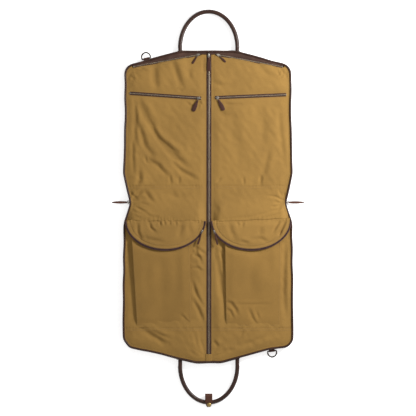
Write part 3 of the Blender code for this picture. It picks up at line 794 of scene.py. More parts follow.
def over_waist(made):
    """The piece lies over the waist: its place is baked into its mesh, and it rides on neither half.
    """
    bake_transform(made)
    return made


# ---------------------------------------------------------------- stitching
def stitch_shape(length=0.0026, thick=0.00042):
    """One stitch: a six-sided thread that dives at both ends."""
    xs = np.array([-0.5, -0.3, 0.3, 0.5]) * length
    sizes = [0.35, 1.0, 1.0, 0.35]
    verts = []
    for x, s in zip(xs, sizes):
        rise = 0.2 if s == 1 else -0.6
        for k in range(6):
            t = k * math.pi / 3
            verts.append((x, math.cos(t) * thick * s, (math.sin(t) * 0.8 + rise) * thick))
    return verts, [f[::-1] for f in capped_faces(4, 6)]


STITCH = stitch_shape()
STITCH_PITCH = 0.0034


def stitches(name, lines, height, thread=None, pitch=STITCH_PITCH, shape=STITCH):
    """Rows of stitches that lie on a surface given by its height function."""
    parts = []
    for line in lines:
        at, _ = spaced(line, pitch)
        at3 = np.column_stack([at[:, :2], height(at[:, 0], at[:, 1]) + 0.0002])
        parts.append(copies(*shape, at3, directions(at3)))
    verts, faces = joined(parts)
    return piece(name, verts, faces, thread or THREAD)


def offset_line(points, away):
    along = directions(points)
    return points + np.stack([along[:, 1], -along[:, 0]], 1) * away


# ---------------------------------------------------------------- zips
def tooth_shape(width=0.0032, pitch=0.0013, high=0.0011):
    """One tooth: a bevelled bar across the zip, seen beside its twin."""
    x, y = pitch * 0.36, width
    verts = []
    for z, grow in ((0, 1.0), (high * 0.65, 1.0), (high, 0.55)):
        verts += [(-x * grow, -0.25 * y, z), (x * grow, -0.25 * y, z)]
        deep = 0.75 * y * (0.5 + grow / 2)
        verts += [(x * grow, deep, z), (-x * grow, deep, z)]
    faces = grid_faces(3, 4, wrap_columns=True)
    faces += [(3, 2, 1, 0), (8, 9, 10, 11)]
    return verts, faces


def zip_parts(line, width, teeth_width=0.0032, pitch=0.0013):
    """Two tapes that dip towards the teeth, and the closed row of teeth, along a 3-D line."""
    line = resample(line, max(24, int(np.linalg.norm(np.diff(line, axis=0), axis=1).sum() / 0.004)))
    half = width / 2
    profile = [(-half, -0.0002), (-half * 0.75, 0.0003), (-0.0006, 0.0)]
    tapes = [ribbon(line, profile), ribbon(line, [(-s, z) for s, z in reversed(profile)])]
    at, way = spaced(line, pitch)
    left = copies(*tooth_shape(teeth_width, pitch), at[::2], way[::2])
    mirrored, faces = tooth_shape(teeth_width, pitch)
    mirrored = [(x, -y, z) for x, y, z in mirrored]
    right = copies(mirrored, [f[::-1] for f in faces], at[1::2], way[1::2])
    return joined(tapes), joined([left, right])


def zip_pieces(name, line, width, tape=None, **teeth):
    tapes, metal = zip_parts(np.asarray(line, float), width, **teeth)
    return (
        piece(f"{name}_tape", *tapes, tape or TAPE),
        piece(f"{name}_teeth", *metal, TEETH, smooth=False),
    )


def stop_shape(name, at, along, size=(0.0024, 0.0056, 0.0016)):
    """The small metal end stop of a zip."""
    bm = bmesh.new()
    bmesh.ops.create_cube(bm, size=1)
    bmesh.ops.scale(bm, verts=bm.verts, vec=size)
    bmesh.ops.bevel(bm, geom=bm.edges[:], offset=0.0006, segments=2, affect="EDGES")
    turn = Matrix.Rotation(math.atan2(along[1], along[0]), 4, "Z")
    bmesh.ops.transform(bm, matrix=Matrix.Translation(Vector(at)) @ turn, verts=bm.verts)
    return from_bmesh(name, bm, NICKEL)


def from_bmesh(name, bm, material, smooth=True):
    mesh = bpy.data.meshes.new(name)
    bm.to_mesh(mesh)
    bm.free()
    made = bpy.data.objects.new(name, mesh)
    bpy.context.scene.collection.objects.link(made)
    mesh.materials.append(material)
    if smooth:
        mesh.shade_smooth()
        mesh.set_sharp_from_angle(angle=SHARP)
    return made


ZIP_FOOT_Y = -0.495             # where the centre zip's teeth end


def build_top_zip(kind, word, line, width, stop_at, stop_along):
    """A straight zip on the upper half, with the stop at its outer end."""
    tape, teeth = zip_pieces(f"{kind}_zip_{word}", line, width, teeth_width=0.0026)
    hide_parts(f"{kind}_zip_{word}")
    stop = stop_shape(f"{kind}_stop_{word}", stop_at, stop_along)
    for made in (tape, teeth, stop):
        belongs(made, "upper_half")


def level(plan, z):
    """A line in the plan, lifted to one height."""
    return np.column_stack([plan, np.full(len(plan), z)])


def build_zips():
    ys = np.linspace(ZIP_HIGH[1], ZIP_FOOT_Y, 260)
    line = level(np.column_stack([np.full(260, ZIP_X), ys]), FRONT_Z + 0.0006)
    tape, teeth = zip_pieces("centre_zip", line, 2 * ZIP_HALF + 0.003, teeth_width=0.0040)
    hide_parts("centre_zip_upper", "centre_zip_lower")
    over_waist(tape)
    over_waist(teeth)
    at = (ZIP_X, ZIP_FOOT_Y - 0.001, FRONT_Z + 0.001)
    belongs(stop_shape("centre_zip_stop", at, (0, 1)), "lower_half", "slider_metal")
    build_zip_foot(ZIP_FOOT_Y)
    for word in WORDS:
        inner, outer = shoulder_line(word)
        line = level(resample(np.array([inner, outer]), 80), FRONT_Z + 0.0012)
        at = (*outer, FRONT_Z + 0.002)
        build_top_zip("shoulder", word, line, 0.0085, at, outer - inner)
        line = level(resample(chest_line(word), 80), CHEST_Z)
        end = line[-1]
        at = (end[0], end[1], end[2] + 0.0008)
        build_top_zip("chest", word, line, 0.0115, at, (1, 0))


def build_zip_foot(start):
    """The canvas that closes the front below the end of the centre zip."""
    loop = edge(UNDER_PIPING)
    end = loop[np.argmin(loop[:, 1])][1]
    half, rows, columns = 0.0105, 22, 15
    ys = np.linspace(start + 0.0005, end, rows)
    gx, gy = np.meshgrid(ZIP_X + np.linspace(-half, half, columns), ys)
    ridge = 0.0005 * np.exp(-(((gx - ZIP_X) / 0.0016) ** 2))
    z = FRONT_Z + 0.0017 + ridge - 0.0006 * np.abs((gx - ZIP_X) / half) ** 4
    verts = np.stack([gx, gy, z], -1).reshape(-1, 3)
    foot = thicken(piece("zip_foot", verts, grid_faces(rows, columns, flip=True), CANVAS), 0.0010)
    lines = [np.array([[ZIP_X + s, ys[1]], [ZIP_X + s, ys[-2]]]) for s in (-0.0042, 0.0042)]
    height = lambda x, y: np.full(np.shape(x), FRONT_Z + 0.0017)
    for made in (foot, stitches("zip_foot_stitches", lines, height)):
        belongs(made, "lower_half", "canvas")


# ---------------------------------------------------------------- edges of the bag
def start_at_top(loop):
    """The closed loop as an open line that starts and ends at the top middle."""
    top = int(np.argmax(loop[:, 1] - np.abs(loop[:, 0]) * 0.5))
    return np.vstack([loop[top:], loop[:top], loop[top : top + 1]])


def open_at_top(inset):
    """The edge as an open line that leaves out the gap for the hanger hooks."""
    line = start_at_top(edge(inset))
    return line[(np.abs(line[:, 0]) > HOOK_HALF) | (line[:, 1] < 0)]


def build_edges():
    loop = edge(PIPE_R)
    for face, z in (("front", PIPE_FRONT_Z), ("back", PIPE_BACK_Z)):
        wave = 0.00035 * soft_waves(loop[:, 0], loop[:, 1], 5, 0.03, 0.09, 7)
        lift = wave if face == "front" else np.abs(wave)
        path = np.column_stack([loop, z + lift])
        made = piece(f"piping_{face}", *tube(path, ring(PIPE_R + 0.0002, 14), True), LEATHER)
        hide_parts(f"piping_{face}_upper", f"piping_{face}_lower")
        over_waist(made)
    low, high = (corner[2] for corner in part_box("gusset_lower"))
    low, high = low - 0.003, high + 0.003      # it reaches under both pipings
    heights = np.linspace(low, high, 7)
    bulge = 0.0012 * np.sin(np.linspace(0, math.pi, 7))
    profile = np.column_stack([bulge, heights])
    wall = piece("side_wall", *ribbon(level(open_at_top(0.0026), 0.0), profile), CANVAS)
    wall = thicken(wall, CLOTH)
    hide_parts("gusset_upper_left", "gusset_upper_right", "gusset_lower")
    over_waist(wall)
    path = resample(level(open_at_top(0.0010), (low + high) / 2), 900)
    tapes, teeth = edge_zip(path)
    tape = piece("edge_zip_tape", *tapes, TAPE)
    metal = piece("edge_zip_teeth", *teeth, TEETH, smooth=False)
    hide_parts("perimeter_zip_upper_left", "perimeter_zip_upper_right", "perimeter_zip_lower")
    over_waist(tape)
    over_waist(metal)


def edge_zip(path):
    """The zip round the edge stands upright: its tape faces outwards."""
    along = directions(path)
    outwards = np.cross(along, [0, 0, 1.0])
    outwards /= np.linalg.norm(outwards, axis=1)[:, None]
    profile = ((-0.0042, -0.0004), (-0.0020, 0.0002), (0.0020, 0.0002), (0.0042, -0.0004))
    rows = [path + outwards * out + np.array([0, 0, up]) for up, out in profile]
    verts = np.stack(rows, 1).reshape(-1, 3)
    tapes = (verts, grid_faces(len(path), len(profile)))
    pitch = 0.0024
    at, way = spaced(path, pitch)
    out = np.cross(way, [0, 0, 1.0])
    shape, faces = tooth_shape(0.0030, pitch, 0.0010)
    side = np.cross(out, way)
    t = np.asarray(shape)
    verts = at[:, None] + way[:, None] * t[None, :, 0:1] + side[:, None] * t[None, :, 1:2] * 0.8
    verts = verts + out[:, None] * (t[None, :, 2:3] + 0.0001)
    moved = [tuple(i + k * len(t) for i in f) for k in range(len(at)) for f in faces]
    return tapes, (verts.reshape(-1, 3), moved)


def build_yoke_bands():
    """The leather facing between the shoulder zips and the piping."""
    rows, columns = 7, 90
    share = np.linspace(0, 1, rows)[:, None, None]
    bump = 0.0022 * np.sin(math.pi * np.linspace(0.05, 1, rows))[:, None]
    for side, word in SIDES:
        inner, outer = shoulder_line(word)
        loop = edge(0.0050)
        own = loop[(loop[:, 0] * side > 0.004) & (loop[:, 1] > 0.4)]
        own = own[np.argsort(own[:, 0] * side)]
        own = own[own[:, 0] * side < outer[0] * side + YOKE_END + 0.001]
        start = np.array([side * 0.006, inner[1] - 0.001])
        low = np.vstack([start, inner, outer, own[-1:]])
        up, down = resample(own, columns), resample(low, columns)
        plan = (1 - share) * down[None] + share * up[None]
        ripple = soft_waves(plan[..., 0], plan[..., 1], 4, 0.02, 0.06, 6)
        z = FRONT_Z + 0.0008 + bump + 0.0005 * ripple
        verts = np.concatenate([plan, z[..., None]], -1).reshape(-1, 3)
        faces = grid_faces(rows, columns, flip=side < 0)
        belongs(piece(f"yoke_band_{word}", verts, faces, LEATHER_YOKE_HIGHLIT), "upper_half", "leather")
        line = offset_line(resample(np.array([inner, outer]), 70), -side * 0.0058)
        at, way = spaced(level(line, FRONT_Z + 0.0016), STITCH_PITCH)
        sewn = piece(f"yoke_stitches_{word}", *copies(*STITCH, at, way), THREAD_DARK)
        belongs(sewn, "upper_half", "leather")


# ---------------------------------------------------------------- back of the bag
BACK_CREASES = [
    ([(-0.262, 0.030), (-0.180, 0.044), (-0.080, 0.034)], 2.4, 10),
    ([(0.262, 0.026), (0.190, 0.006), (0.070, 0.014)], 2.4, 10),
    ([(-0.255, 0.010), (-0.170, -0.020), (-0.110, -0.018)], 2.0, 9),
    ([(0.250, 0.120), (0.200, 0.190), (0.130, 0.230)], 1.8, 12),
    ([(-0.250, 0.360), (-0.190, 0.300), (-0.140, 0.220)], 1.8, 12),
    ([(-0.240, -0.200), (-0.190, -0.290), (-0.110, -0.330)], 1.8, 12),
    ([(0.240, -0.180), (0.200, -0.260), (0.190, -0.360)], 1.8, 11),
    ([(0.060, 0.470), (0.100, 0.420), (0.170, 0.410)], 1.6, 9),
    ([(-0.090, -0.430), (-0.030, -0.450), (0.060, -0.430)], 1.6, 9),
]


def back_height(x, y):
    """The height of the back canvas: its folds press upwards, into the bag."""
    z = 0.0009 * np.abs(soft_waves(x, y, 11, 0.06, 0.18, 9)) + 0.0004
    for line, depth, width in BACK_CREASES:
        z = z - crease(x, y, line, depth * MM, width * MM, 0.2)
    for line in (y - UPPER_SEAM_Y, y - SEAM_Y):
        z = z - seam_dip(np.abs(line), x, y, 0.9 * MM, 1.9 * MM, 0.4 * MM)
    return np.maximum(z, 0.0001)


SEAM_ROWS = (0.002, 0.0085)     # stitch rows below each cross seam


def edge_row(below=math.inf):
    """The stitch row inside the piping, up to a height, from one side round to the other."""
    loop = edge(0.0115)
    loop = loop[loop[:, 1] < below]
    turn = (np.arctan2(loop[:, 1], loop[:, 0]) - 1.2) % (2 * math.pi)
    return loop[np.argsort(turn)]


def build_back_stitches():
    lines = []
    for y in [seam - row for seam in (UPPER_SEAM_Y, SEAM_Y) for row in SEAM_ROWS]:
        reach = 0.272 if y > 0 else 0.279
        lines.append(np.column_stack([np.linspace(-reach, reach, 200), np.full(200, y)]))
    lines.append(edge_row())
    made = stitches("back_stitches", lines, lambda x, y: -back_height(x, y))
    for v in made.data.vertices:
        v.co.z = -v.co.z
    bmesh_fix(made)
    over_waist(made)


def build_back():
    loop = edge(0.0050)
    half = LOOP_POINTS // 2
    turn = (np.arctan2(loop[:, 1], loop[:, 0]) + math.pi / 2) % (2 * math.pi)
    loop = loop[np.argsort(turn)]
    right, left = loop[:half], loop[half:][::-1]
    rows, columns = 260, 110
    plan = []
    for y in np.linspace(right[0][1], right[-1][1], rows):
        x0, x1 = (np.interp(y, *monotone(own)) for own in (left, right))
        plan.append(np.column_stack([np.linspace(x0, x1, columns), np.full(columns, y)]))
    plan = np.array(plan).reshape(-1, 2)
    verts = np.column_stack([plan, back_height(plan[:, 0], plan[:, 1])])
    made = piece("back_canvas", verts, grid_faces(rows, columns, flip=True), CANVAS)
    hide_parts("back_panel_upper", "back_panel_lower")
    over_waist(made)


def monotone(side):
    """One side of the edge as y, x with y rising."""
    order = np.maximum.accumulate(side[:, 1] + np.arange(len(side)) * 1e-9)
    return order, side[:, 0]


# ---------------------------------------------------------------- flaps and pockets
def flap_frame(word):
    """A flap's half ellipse: its middle, upper edge, and two half axes."""
    low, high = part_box(f"flap_zip_{word}")
    middle, half = (low[0] + high[0]) / 2, (high[0] - low[0]) / 2
    return {"x": middle, "a": half, "b": high[1] - low[1], "y": high[1]}


FLAP = {word: flap_frame(word) for word in WORDS}
FLAP_CREASES = {
    "left": [
        ([(-0.200, -0.044), (-0.194, -0.066), (-0.178, -0.080)], 2.6, 5),
        ([(-0.240, -0.046), (-0.238, -0.080), (-0.226, -0.108)], 2.0, 6),
        ([(-0.165, -0.042), (-0.160, -0.058)], 2.2, 4),
        ([(-0.110, -0.042), (-0.108, -0.056)], 1.8, 3.5),
        ([(-0.128, -0.042), (-0.130, -0.054)], 1.6, 3.5),
        ([(-0.148, -0.042), (-0.146, -0.056)], 1.8, 3.5),
        ([(-0.090, -0.044), (-0.092, -0.070), (-0.100, -0.100)], 1.6, 9),
        ([(-0.215, -0.100), (-0.180, -0.108), (-0.150, -0.112)], 1.4, 7),
        ([(-0.066, -0.050), (-0.058, -0.090)], 1.0, 8),
    ],
    "right": [
        ([(0.243, -0.044), (0.232, -0.060), (0.220, -0.078)], 2.8, 4.5),
        ([(0.262, -0.042), (0.254, -0.062), (0.242, -0.086)], 3.0, 4.5),
        ([(0.250, -0.074), (0.240, -0.092)], 2.0, 4),
        ([(0.120, -0.044), (0.116, -0.062)], 1.6, 4),
        ([(0.070, -0.046), (0.078, -0.078), (0.092, -0.104)], 1.5, 9),
        ([(0.150, -0.108), (0.180, -0.102), (0.200, -0.112)], 1.5, 7),
        ([(0.110, -0.112), (0.140, -0.118)], 1.4, 6),
        ([(0.180, -0.060), (0.174, -0.090)], 1.2, 9),
        ([(0.098, -0.046), (0.104, -0.058)], 1.2, 4),
    ],
}


def flap_share(word, x, y):
    """0 in the middle of a flap and 1 on the outer edge of its zip."""
    f = FLAP[word]
    return np.sqrt(((x - f["x"]) / f["a"]) ** 2 + ((y - f["y"]) / f["b"]) ** 2)


def flap_height(word):
    def height(x, y):
        share = flap_share(word, x, y)
        inside = step((0.93 - share) / 0.30)
        z = FLAP_Z - 0.0006 + 0.0024 * inside * step((FLAP_Y - y) / 0.02)
        relief = sum(crease(x, y, line, d * MM, w * MM) for line, d, w in FLAP_CREASES[word])
        z = z + 1.6 * relief * step((0.97 - share) / 0.12)
        z = z + 0.0007 * inside * soft_waves(x, y, 21 + len(word), 0.04, 0.12, 8)
        f = FLAP[word]
        band = (share - 0.865) * min(f["a"], f["b"])
        z = z + seam_dip(np.abs(band), x, y, 0.7 * MM, 1.8 * MM, 0.22 * MM)
        seam = np.abs(y - seam_at(x) + 0.002)
        return z + gathers(x, y) + seam_dip(seam, x, y, 0.9 * MM, 1.6 * MM, 0.4 * MM)

    return height


def flap_arc(word, grow, steps=90, start=0.0, end=180.0):
    """Points along a flap's rim from its left end to its right end, moved outwards."""
    f = FLAP[word]
    t = np.radians(np.linspace(180 + start, 180 + end, steps))
    x, y = f["x"] + (f["a"] + grow) * np.cos(t), f["y"] + (f["b"] + grow) * np.sin(t)
    return np.column_stack([x, y])


FLAP_BAND = 0.0070              # width of the zip round a flap


def build_flaps():
    rows, columns = 44, 121
    share = np.linspace(0, 1, rows)[:, None, None] ** 0.9
    for word in WORDS:
        rim = flap_arc(word, -FLAP_BAND + 0.0006, columns)
        top = np.column_stack([rim[:, 0], seam_at(rim[:, 0]) + 0.0012])
        flat = ((1 - share) * top[None] + share * rim[None]).reshape(-1, 2)
        height = flap_height(word)
        verts = np.column_stack([flat, height(flat[:, 0], flat[:, 1])])
        faces = grid_faces(rows, columns, flip=True)
        made = thicken(piece(f"flap_canvas_{word}", verts, faces, CANVAS_FLAP), 0.0012)
        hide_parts(f"flap_{word}")
        hem, free = (0, FLAP_Y + 0.001, FLAP_Z), (0, FLAP_Y - 0.007, FLAP_Z)
        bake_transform(made)
        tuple(hem)
        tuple(free)
        lines = [
            flap_arc(word, -FLAP_BAND - away, 90, skip, 180 - skip)
            for away, skip in ((0.0018, 6), (0.0125, 8))
        ]
        belongs(stitches(f"flap_stitches_{word}", lines, height), f"flap_{word}", "canvas")
        build_flap_zip(word)


def build_flap_zip(word):
    """The curved zip under the flap's rim, with the gusset that carries it down."""
    steps, from_top = 160, (1.0, 179.0)
    line = level(flap_arc(word, -FLAP_BAND / 2, steps, *from_top), FLAP_Z - 0.0007)
    tape, teeth = zip_pieces(f"flap_zip_{word}", line, FLAP_BAND, TAPE_FLAP, teeth_width=0.0018)
    teeth.data.materials[0] = COIL
    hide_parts(f"flap_zip_{word}")
    drops = (0.0006, 0.0), (0.0020, 0.0004), (0.0045, -0.0010), (0.0085, -0.0030), (0.0120, -0.0035)
    rows = [
        level(flap_arc(word, -0.0002 + out, steps, *from_top), FLAP_Z - drop) for drop, out in drops
    ]
    taped = (steps - 1) * 2              # the first two rows are zip tape, the others canvas
    slots = [0 if i < taped else 1 for i in range((steps - 1) * (len(rows) - 1))]
    skirt = piece(
        f"flap_gusset_{word}",
        np.array(rows).reshape(-1, 3),
        grid_faces(len(rows), steps),
        TAPE_FLAP,
        materials=[TAPE_FLAP, CANVAS_POCKET],
        face_slots=slots,
    )
    for made in (tape, teeth, skirt):
        belongs(made, "lower_half")


POCKET_SIDES = {
    "left": ((-0.2585, -0.2410), (-0.0620, -0.0570)),
    "right": ((0.0575, 0.0620), (0.2470, 0.2440)),
}
POCKET_CREASES = {
    "left": [
        ([(-0.092, -0.360), (-0.078, -0.378), (-0.066, -0.392)], 2.6, 5),
        ([(-0.160, -0.160), (-0.155, -0.260), (-0.150, -0.340)], 1.2, 22),
        ([(-0.205, -0.165), (-0.210, -0.240), (-0.200, -0.320)], 1.0, 16),
        ([(-0.110, -0.160), (-0.105, -0.250), (-0.120, -0.330)], 1.0, 16),
    ],
    "right": [
        ([(0.064, -0.318), (0.078, -0.322), (0.092, -0.340), (0.100, -0.360)], 3.0, 6),
        ([(0.062, -0.340), (0.076, -0.350), (0.086, -0.372)], 2.4, 5),
        ([(0.138, -0.340), (0.150, -0.370), (0.164, -0.398)], 2.8, 6),
        ([(0.164, -0.350), (0.172, -0.376)], 1.6, 5),
        ([(0.080, -0.324), (0.140, -0.326), (0.210, -0.324)], 1.0, 5),
        ([(0.150, -0.170), (0.146, -0.230), (0.152, -0.300)], 1.1, 18),
        ([(0.210, -0.170), (0.215, -0.240)], 0.9, 16),
    ],
}


def pocket_sides(word, y):
    (left_top, left_low), (right_top, right_low) = POCKET_SIDES[word]
    share = np.clip((y - SEAM_Y) / (-0.110 - SEAM_Y), 0, 1)
    return left_low + (left_top - left_low) * share, right_low + (right_top - right_low) * share


def pocket_height(word):
    """The height of a boxed pocket's front, which comes down to the seam at its foot."""

    def height(x, y):
        low, high = pocket_sides(word, y)
        rise = 0.34 * step((y - SEAM_Y) / 0.040) + 0.66 * np.clip((y - SEAM_Y) / 0.20, 0, 1)
        inside = step((x - low) / 0.030) * step((high - x) / 0.030)
        z = POCKET_Z - 0.0022 + 0.0016 * inside
        z = z + 0.0009 * inside * soft_waves(x, y, 31 + len(word), 0.06, 0.16, 8, 0.5)
        relief = sum(crease(x, y, line, d * MM, w * MM) for line, d, w in POCKET_CREASES[word])
        base = FRONT_Z + 0.0014
        z = base + (z - base) * (0.08 + 0.92 * rise) + 1.4 * relief * (0.4 + 0.6 * rise)
        under = (flap_share(word, x, y) - 1) * FLAP[word]["b"]
        z = z - 0.0042 * np.exp(-((np.maximum(under, 0) / 0.013) ** 2)) * inside ** 0.3
        z = z + seam_dip(np.abs(y - SEAM_Y - 0.0035), x, y, 0.5 * MM, 1.8 * MM, 0.45 * MM)
        sides = np.minimum(np.abs(x - low - 0.004), np.abs(high - x - 0.004))
        return z + seam_dip(sides, x, y, 0.5 * MM, 1.2 * MM, 0.1 * MM)

    return height


POCKET_FLOOR = FRONT_Z + 0.0012  # where the pockets' side walls end


def build_pockets():
    rows, columns = 110, 70
    across = np.linspace(0, 1, columns)
    for word in WORDS:
        height = pocket_height(word)
        f = FLAP[word]
        verts = []
        for v in np.linspace(0, 1, rows):
            x0, x1 = pocket_sides(word, SEAM_Y + v * 0.27)
            x = x0 + (x1 - x0) * across
            inside = np.clip(1 - ((x - f["x"]) / (f["a"] - 0.004)) ** 2, 0, 1)
            top = f["y"] - (f["b"] - 0.004) * np.sqrt(inside)
            y = SEAM_Y + v * (top - SEAM_Y)
            x0, x1 = pocket_sides(word, y)
            x = x0 + (x1 - x0) * across
            z = height(x, y)
            # Both side walls come down to the floor in three points.
            foot = 0.010 * step((y - SEAM_Y) / 0.03)
            left, right = [
                [
                    (x[k] + way * foot[k], y[k], POCKET_FLOOR),
                    (x[k] + way * 0.35 * foot[k], y[k], (POCKET_FLOOR + z[k]) / 2),
                    (x[k] - way * 0.0003, y[k], z[k] - 0.0012),
                ]
                for k, way in ((0, 1), (-1, -1))
            ]
            verts += left + list(zip(x, y, z)) + right[::-1]
        faces = grid_faces(rows, columns + 6)
        made = thicken(piece(f"pocket_front_{word}", verts, faces, CANVAS_POCKET), 0.0009)
        belongs(made, "lower_half", "canvas", f"bellows_pocket_{word}")
        ys = np.linspace(SEAM_Y + 0.004, -0.120, 90)
        low, high = pocket_sides(word, ys)
        lines = [np.column_stack([low + 0.004, ys]), np.column_stack([high - 0.004, ys])]
        xs = np.linspace(low[0] + 0.004, high[0] - 0.004, 60)
        lines += [np.column_stack([xs, np.full(60, SEAM_Y + up)]) for up in (0.0035, 0.0100)]
        belongs(stitches(f"pocket_stitches_{word}", lines, height), "lower_half", "canvas")


# ---------------------------------------------------------------- seams on the front
def build_front_stitches():
    ys = np.linspace(0.512, -0.505, 400)
    lines = []
    for side, word in SIDES:
        for away in ZIP_SEAMS:
            lines.append(np.column_stack([np.full(400, ZIP_X + side * away), ys]))
        xs = np.linspace(ZIP_X + side * 0.018, side * 0.272, 120)
        wave = 0.0012 * np.sin(xs * 31 + side)
        lines += [np.column_stack([xs, UPPER_SEAM_Y - row + wave]) for row in SEAM_ROWS]
        xs = np.linspace(ZIP_X + side * 0.018, side * 0.278, 120)
        lines += [np.column_stack([xs, np.full(120, SEAM_Y - row)]) for row in SEAM_ROWS]
        chest = resample(chest_line(word), 90)
        lines += [offset_line(chest, away) for away in (-CHEST_SEAM, CHEST_SEAM)]
        inner, outer = shoulder_line(word)
        lines.append(offset_line(resample(np.array([inner, outer]), 60), side * 0.0060))
    lines.append(edge_row(0.470))
    over_waist(stitches("front_stitches", lines, front_height))


# ---------------------------------------------------------------- handles
def handle_line(node, way):
    """The handle's half ellipse, from its box in the frame."""
    low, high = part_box(node)
    joint = JOINTS[f"{node}_swing"]["pos_m"]
    radius = (high[2] - low[2]) / 2 * 1.035
    a = (high[0] - low[0]) / 2 - radius
    tip = high[1] if way > 0 else low[1]
    b = abs(tip - joint[1]) - radius
    t = np.linspace(0, math.pi, 150)
    arch = np.column_stack([joint[0] + a * np.cos(t), joint[1] + way * b * np.sin(t)])
    arch = level(arch, joint[2])
    return arch, radius, joint


def build_handle(word, way, body):
    node = f"handle_{word}"
    arch, radius, joint = handle_line(node, way)
    caps = np.radians([88, 70, 50, 30, 14])
    start = arch[0] - np.outer(np.sin(caps), [0, way * radius, 0])
    end = arch[-1] - np.outer(np.sin(caps[::-1]), [0, way * radius, 0])
    path = np.vstack([start, arch, end])
    sizes = np.concatenate([np.cos(caps), np.ones(len(arch)), np.cos(caps[::-1])])
    profile = ring(radius, 28, 0.96)
    seam = np.exp(-((np.arctan2(profile[:, 1], profile[:, 0]) / 0.16) ** 2))
    profile = profile * (1 + 0.10 * seam)[:, None]
    if way < 0:
        profile = (profile * [-1, 1])[::-1]
    handle = piece(f"{node}_leather", *tube(path, profile, False, sizes), LEATHER_HANDLE)
    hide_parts(node)
    outward = arch - np.array(joint)
    outward /= np.linalg.norm(outward, axis=1)[:, None]
    line = arch[6:-6] + outward[6:-6] * -(radius * 0.93) + [0, 0, radius * 0.34]
    row = copies(*stitch_shape(0.0032, 0.0005), *spaced(line, 0.0045))
    sewn = piece(f"{node}_stitches", *row, THREAD_DARK)
    for made in (handle, sewn):
        belongs(made, body, "leather")
    build_anchor(word, way, arch, radius, joint)


def build_anchor(word, way, arch, radius, joint):
    """The leather strip on the edge, with a short wrapped root under each end of the handle."""
    loop = edge(-0.0010)
    x0, x1 = (corner[0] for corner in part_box(f"handle_anchor_{word}"))
    own = loop[(loop[:, 1] * way > 0) & (loop[:, 0] > x0) & (loop[:, 0] < x1)]
    own = own[np.argsort(own[:, 0])]
    thin, tall = 0.0010, 0.0046
    upright = [(-thin, -tall), (thin, -tall), (0.0012, 0), (thin, tall), (-thin, tall)]
    parts = [tube(level(own, joint[2] + 0.0008), upright)]
    for end in (arch[0], arch[-1]):
        edge_y = np.interp(end[0], own[:, 0], own[:, 1])
        root = np.array([end[0], edge_y - way * 0.001, joint[2]])
        tip = np.array([end[0], joint[1], joint[2]])
        parts.append(tube(np.linspace(root, tip, 12), ring(radius * 0.985, 28, 0.96)))
    made = piece(f"handle_anchor_{word}_leather", *joined(parts), LEATHER)
    belongs(made, HALVES[0] if way > 0 else HALVES[1], "leather", f"handle_anchor_{word}")


# ---------------------------------------------------------------- snap strap
def build_snap_strap():
    low, high = (Vector(c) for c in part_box("snap_strap"))
    pivot = JOINTS["snap_strap_swing"]["pos_m"]
    x, wide = (low.x + high.x) / 2, high.x - low.x
    half = (high.z - low.z) / 2 - 0.001
    near, far = high.y - half - 0.001, low.y + half + 0.001
    loop = []
    for t in turns(60):
        c = math.cos(t)
        loop.append(((near if c > 0 else far) + half * c, pivot[2] + half * math.sin(t)))
    loop = resample(np.array(loop), 90, True)
    mid = (near + far) / 2
    pinch = 1 - 0.72 * step((mid - 0.006 - loop[:, 0]) / 0.010)
    z = pivot[2] + (loop[:, 1] - pivot[2]) * pinch
    over = pivot[2] + 0.0070 * step((loop[:, 0] - far + 0.004) / 0.008)
    z = np.where(loop[:, 1] > pivot[2], np.maximum(z, over), z)
    width = wide * (0.5 - 0.13 * step((mid - 0.004 - loop[:, 0]) / 0.012))
    tip = np.clip((loop[:, 0] - low.y) / 0.010, 0, 1)
    width = width * np.sqrt(np.clip(1 - (1 - tip) ** 2, 0.12, 1))
    across = np.linspace(-1, 1, 17)
    verts = [(x + u * w, y, up) for (y, _), up, w in zip(loop, z, width) for u in across]
    strap = piece("snap_strap_leather", verts, grid_faces(90, 17, wrap_rows=True), LEATHER_STRAP)
    strap = thicken(strap, -0.0016)
    belongs(strap, "snap_strap", "leather", "snap_strap")
    build_snap()


# The snap's dome from its rim to its middle: share of the radius, and share of the height.
SNAP_OUTLINE = [(1.0, 0.0), (1.02, 0.18), (0.98, 0.34), (0.90, 0.42), (0.84, 0.38), (0.80, 0.40)]
SNAP_OUTLINE += [(0.70, 0.62), (0.52, 0.80), (0.30, 0.93), (0.12, 0.99), (0.0, 1.0)]


def build_snap():
    low, high = (Vector(c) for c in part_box("snap_button"))
    centre = (low + high) / 2
    radius, tall, sides = (high.x - low.x) / 2, high.z - low.z + 0.0006, 40
    verts = []
    for r, h in SNAP_OUTLINE:
        for t in turns(sides):
            x, y = centre.x + r * radius * math.cos(t), centre.y + r * radius * math.sin(t)
            verts.append((x, y, low.z - 0.0008 + h * tall))
    faces = grid_faces(len(SNAP_OUTLINE), sides, wrap_columns=True)
    belongs(piece("snap_cap", verts, faces, BRASS), "snap_strap", "brass", "snap_button")


# ---------------------------------------------------------------- D-rings
def build_ring(word, body):
    joint = JOINTS[f"d_ring_{word}_swing"]
    bar, axis = Vector(joint["pos_m"]), Vector(joint["axis"])
    out = Vector((0, 0, 1)).cross(axis)
    radius, rise, thick = 0.0150, 0.0060, 0.0024
    corner, lift = radius - 0.0007, 0.0009
    local = [(-radius + 0.0025, 0.0), (0.0, 0.0), (radius - 0.0025, 0.0), (corner, lift)]
    arch = np.linspace(0, math.pi, 40)
    local += [(radius * math.cos(a), rise + radius * math.sin(a)) for a in arch]
    local += [(-corner, lift)]
    plan = smooth_loop(resample(np.array(local), 96, True), 2)
    along = -axis
    path = np.array([tuple(bar + along * s + out * n) for s, n in plan])
    made = piece(f"d_ring_{word}_wire", *tube(path, ring(thick, 14), True), GUNMETAL)
    belongs(made, f"d_ring_{word}", "ring_metal", f"d_ring_{word}")
    build_ring_tab(word, body, bar, along, out)


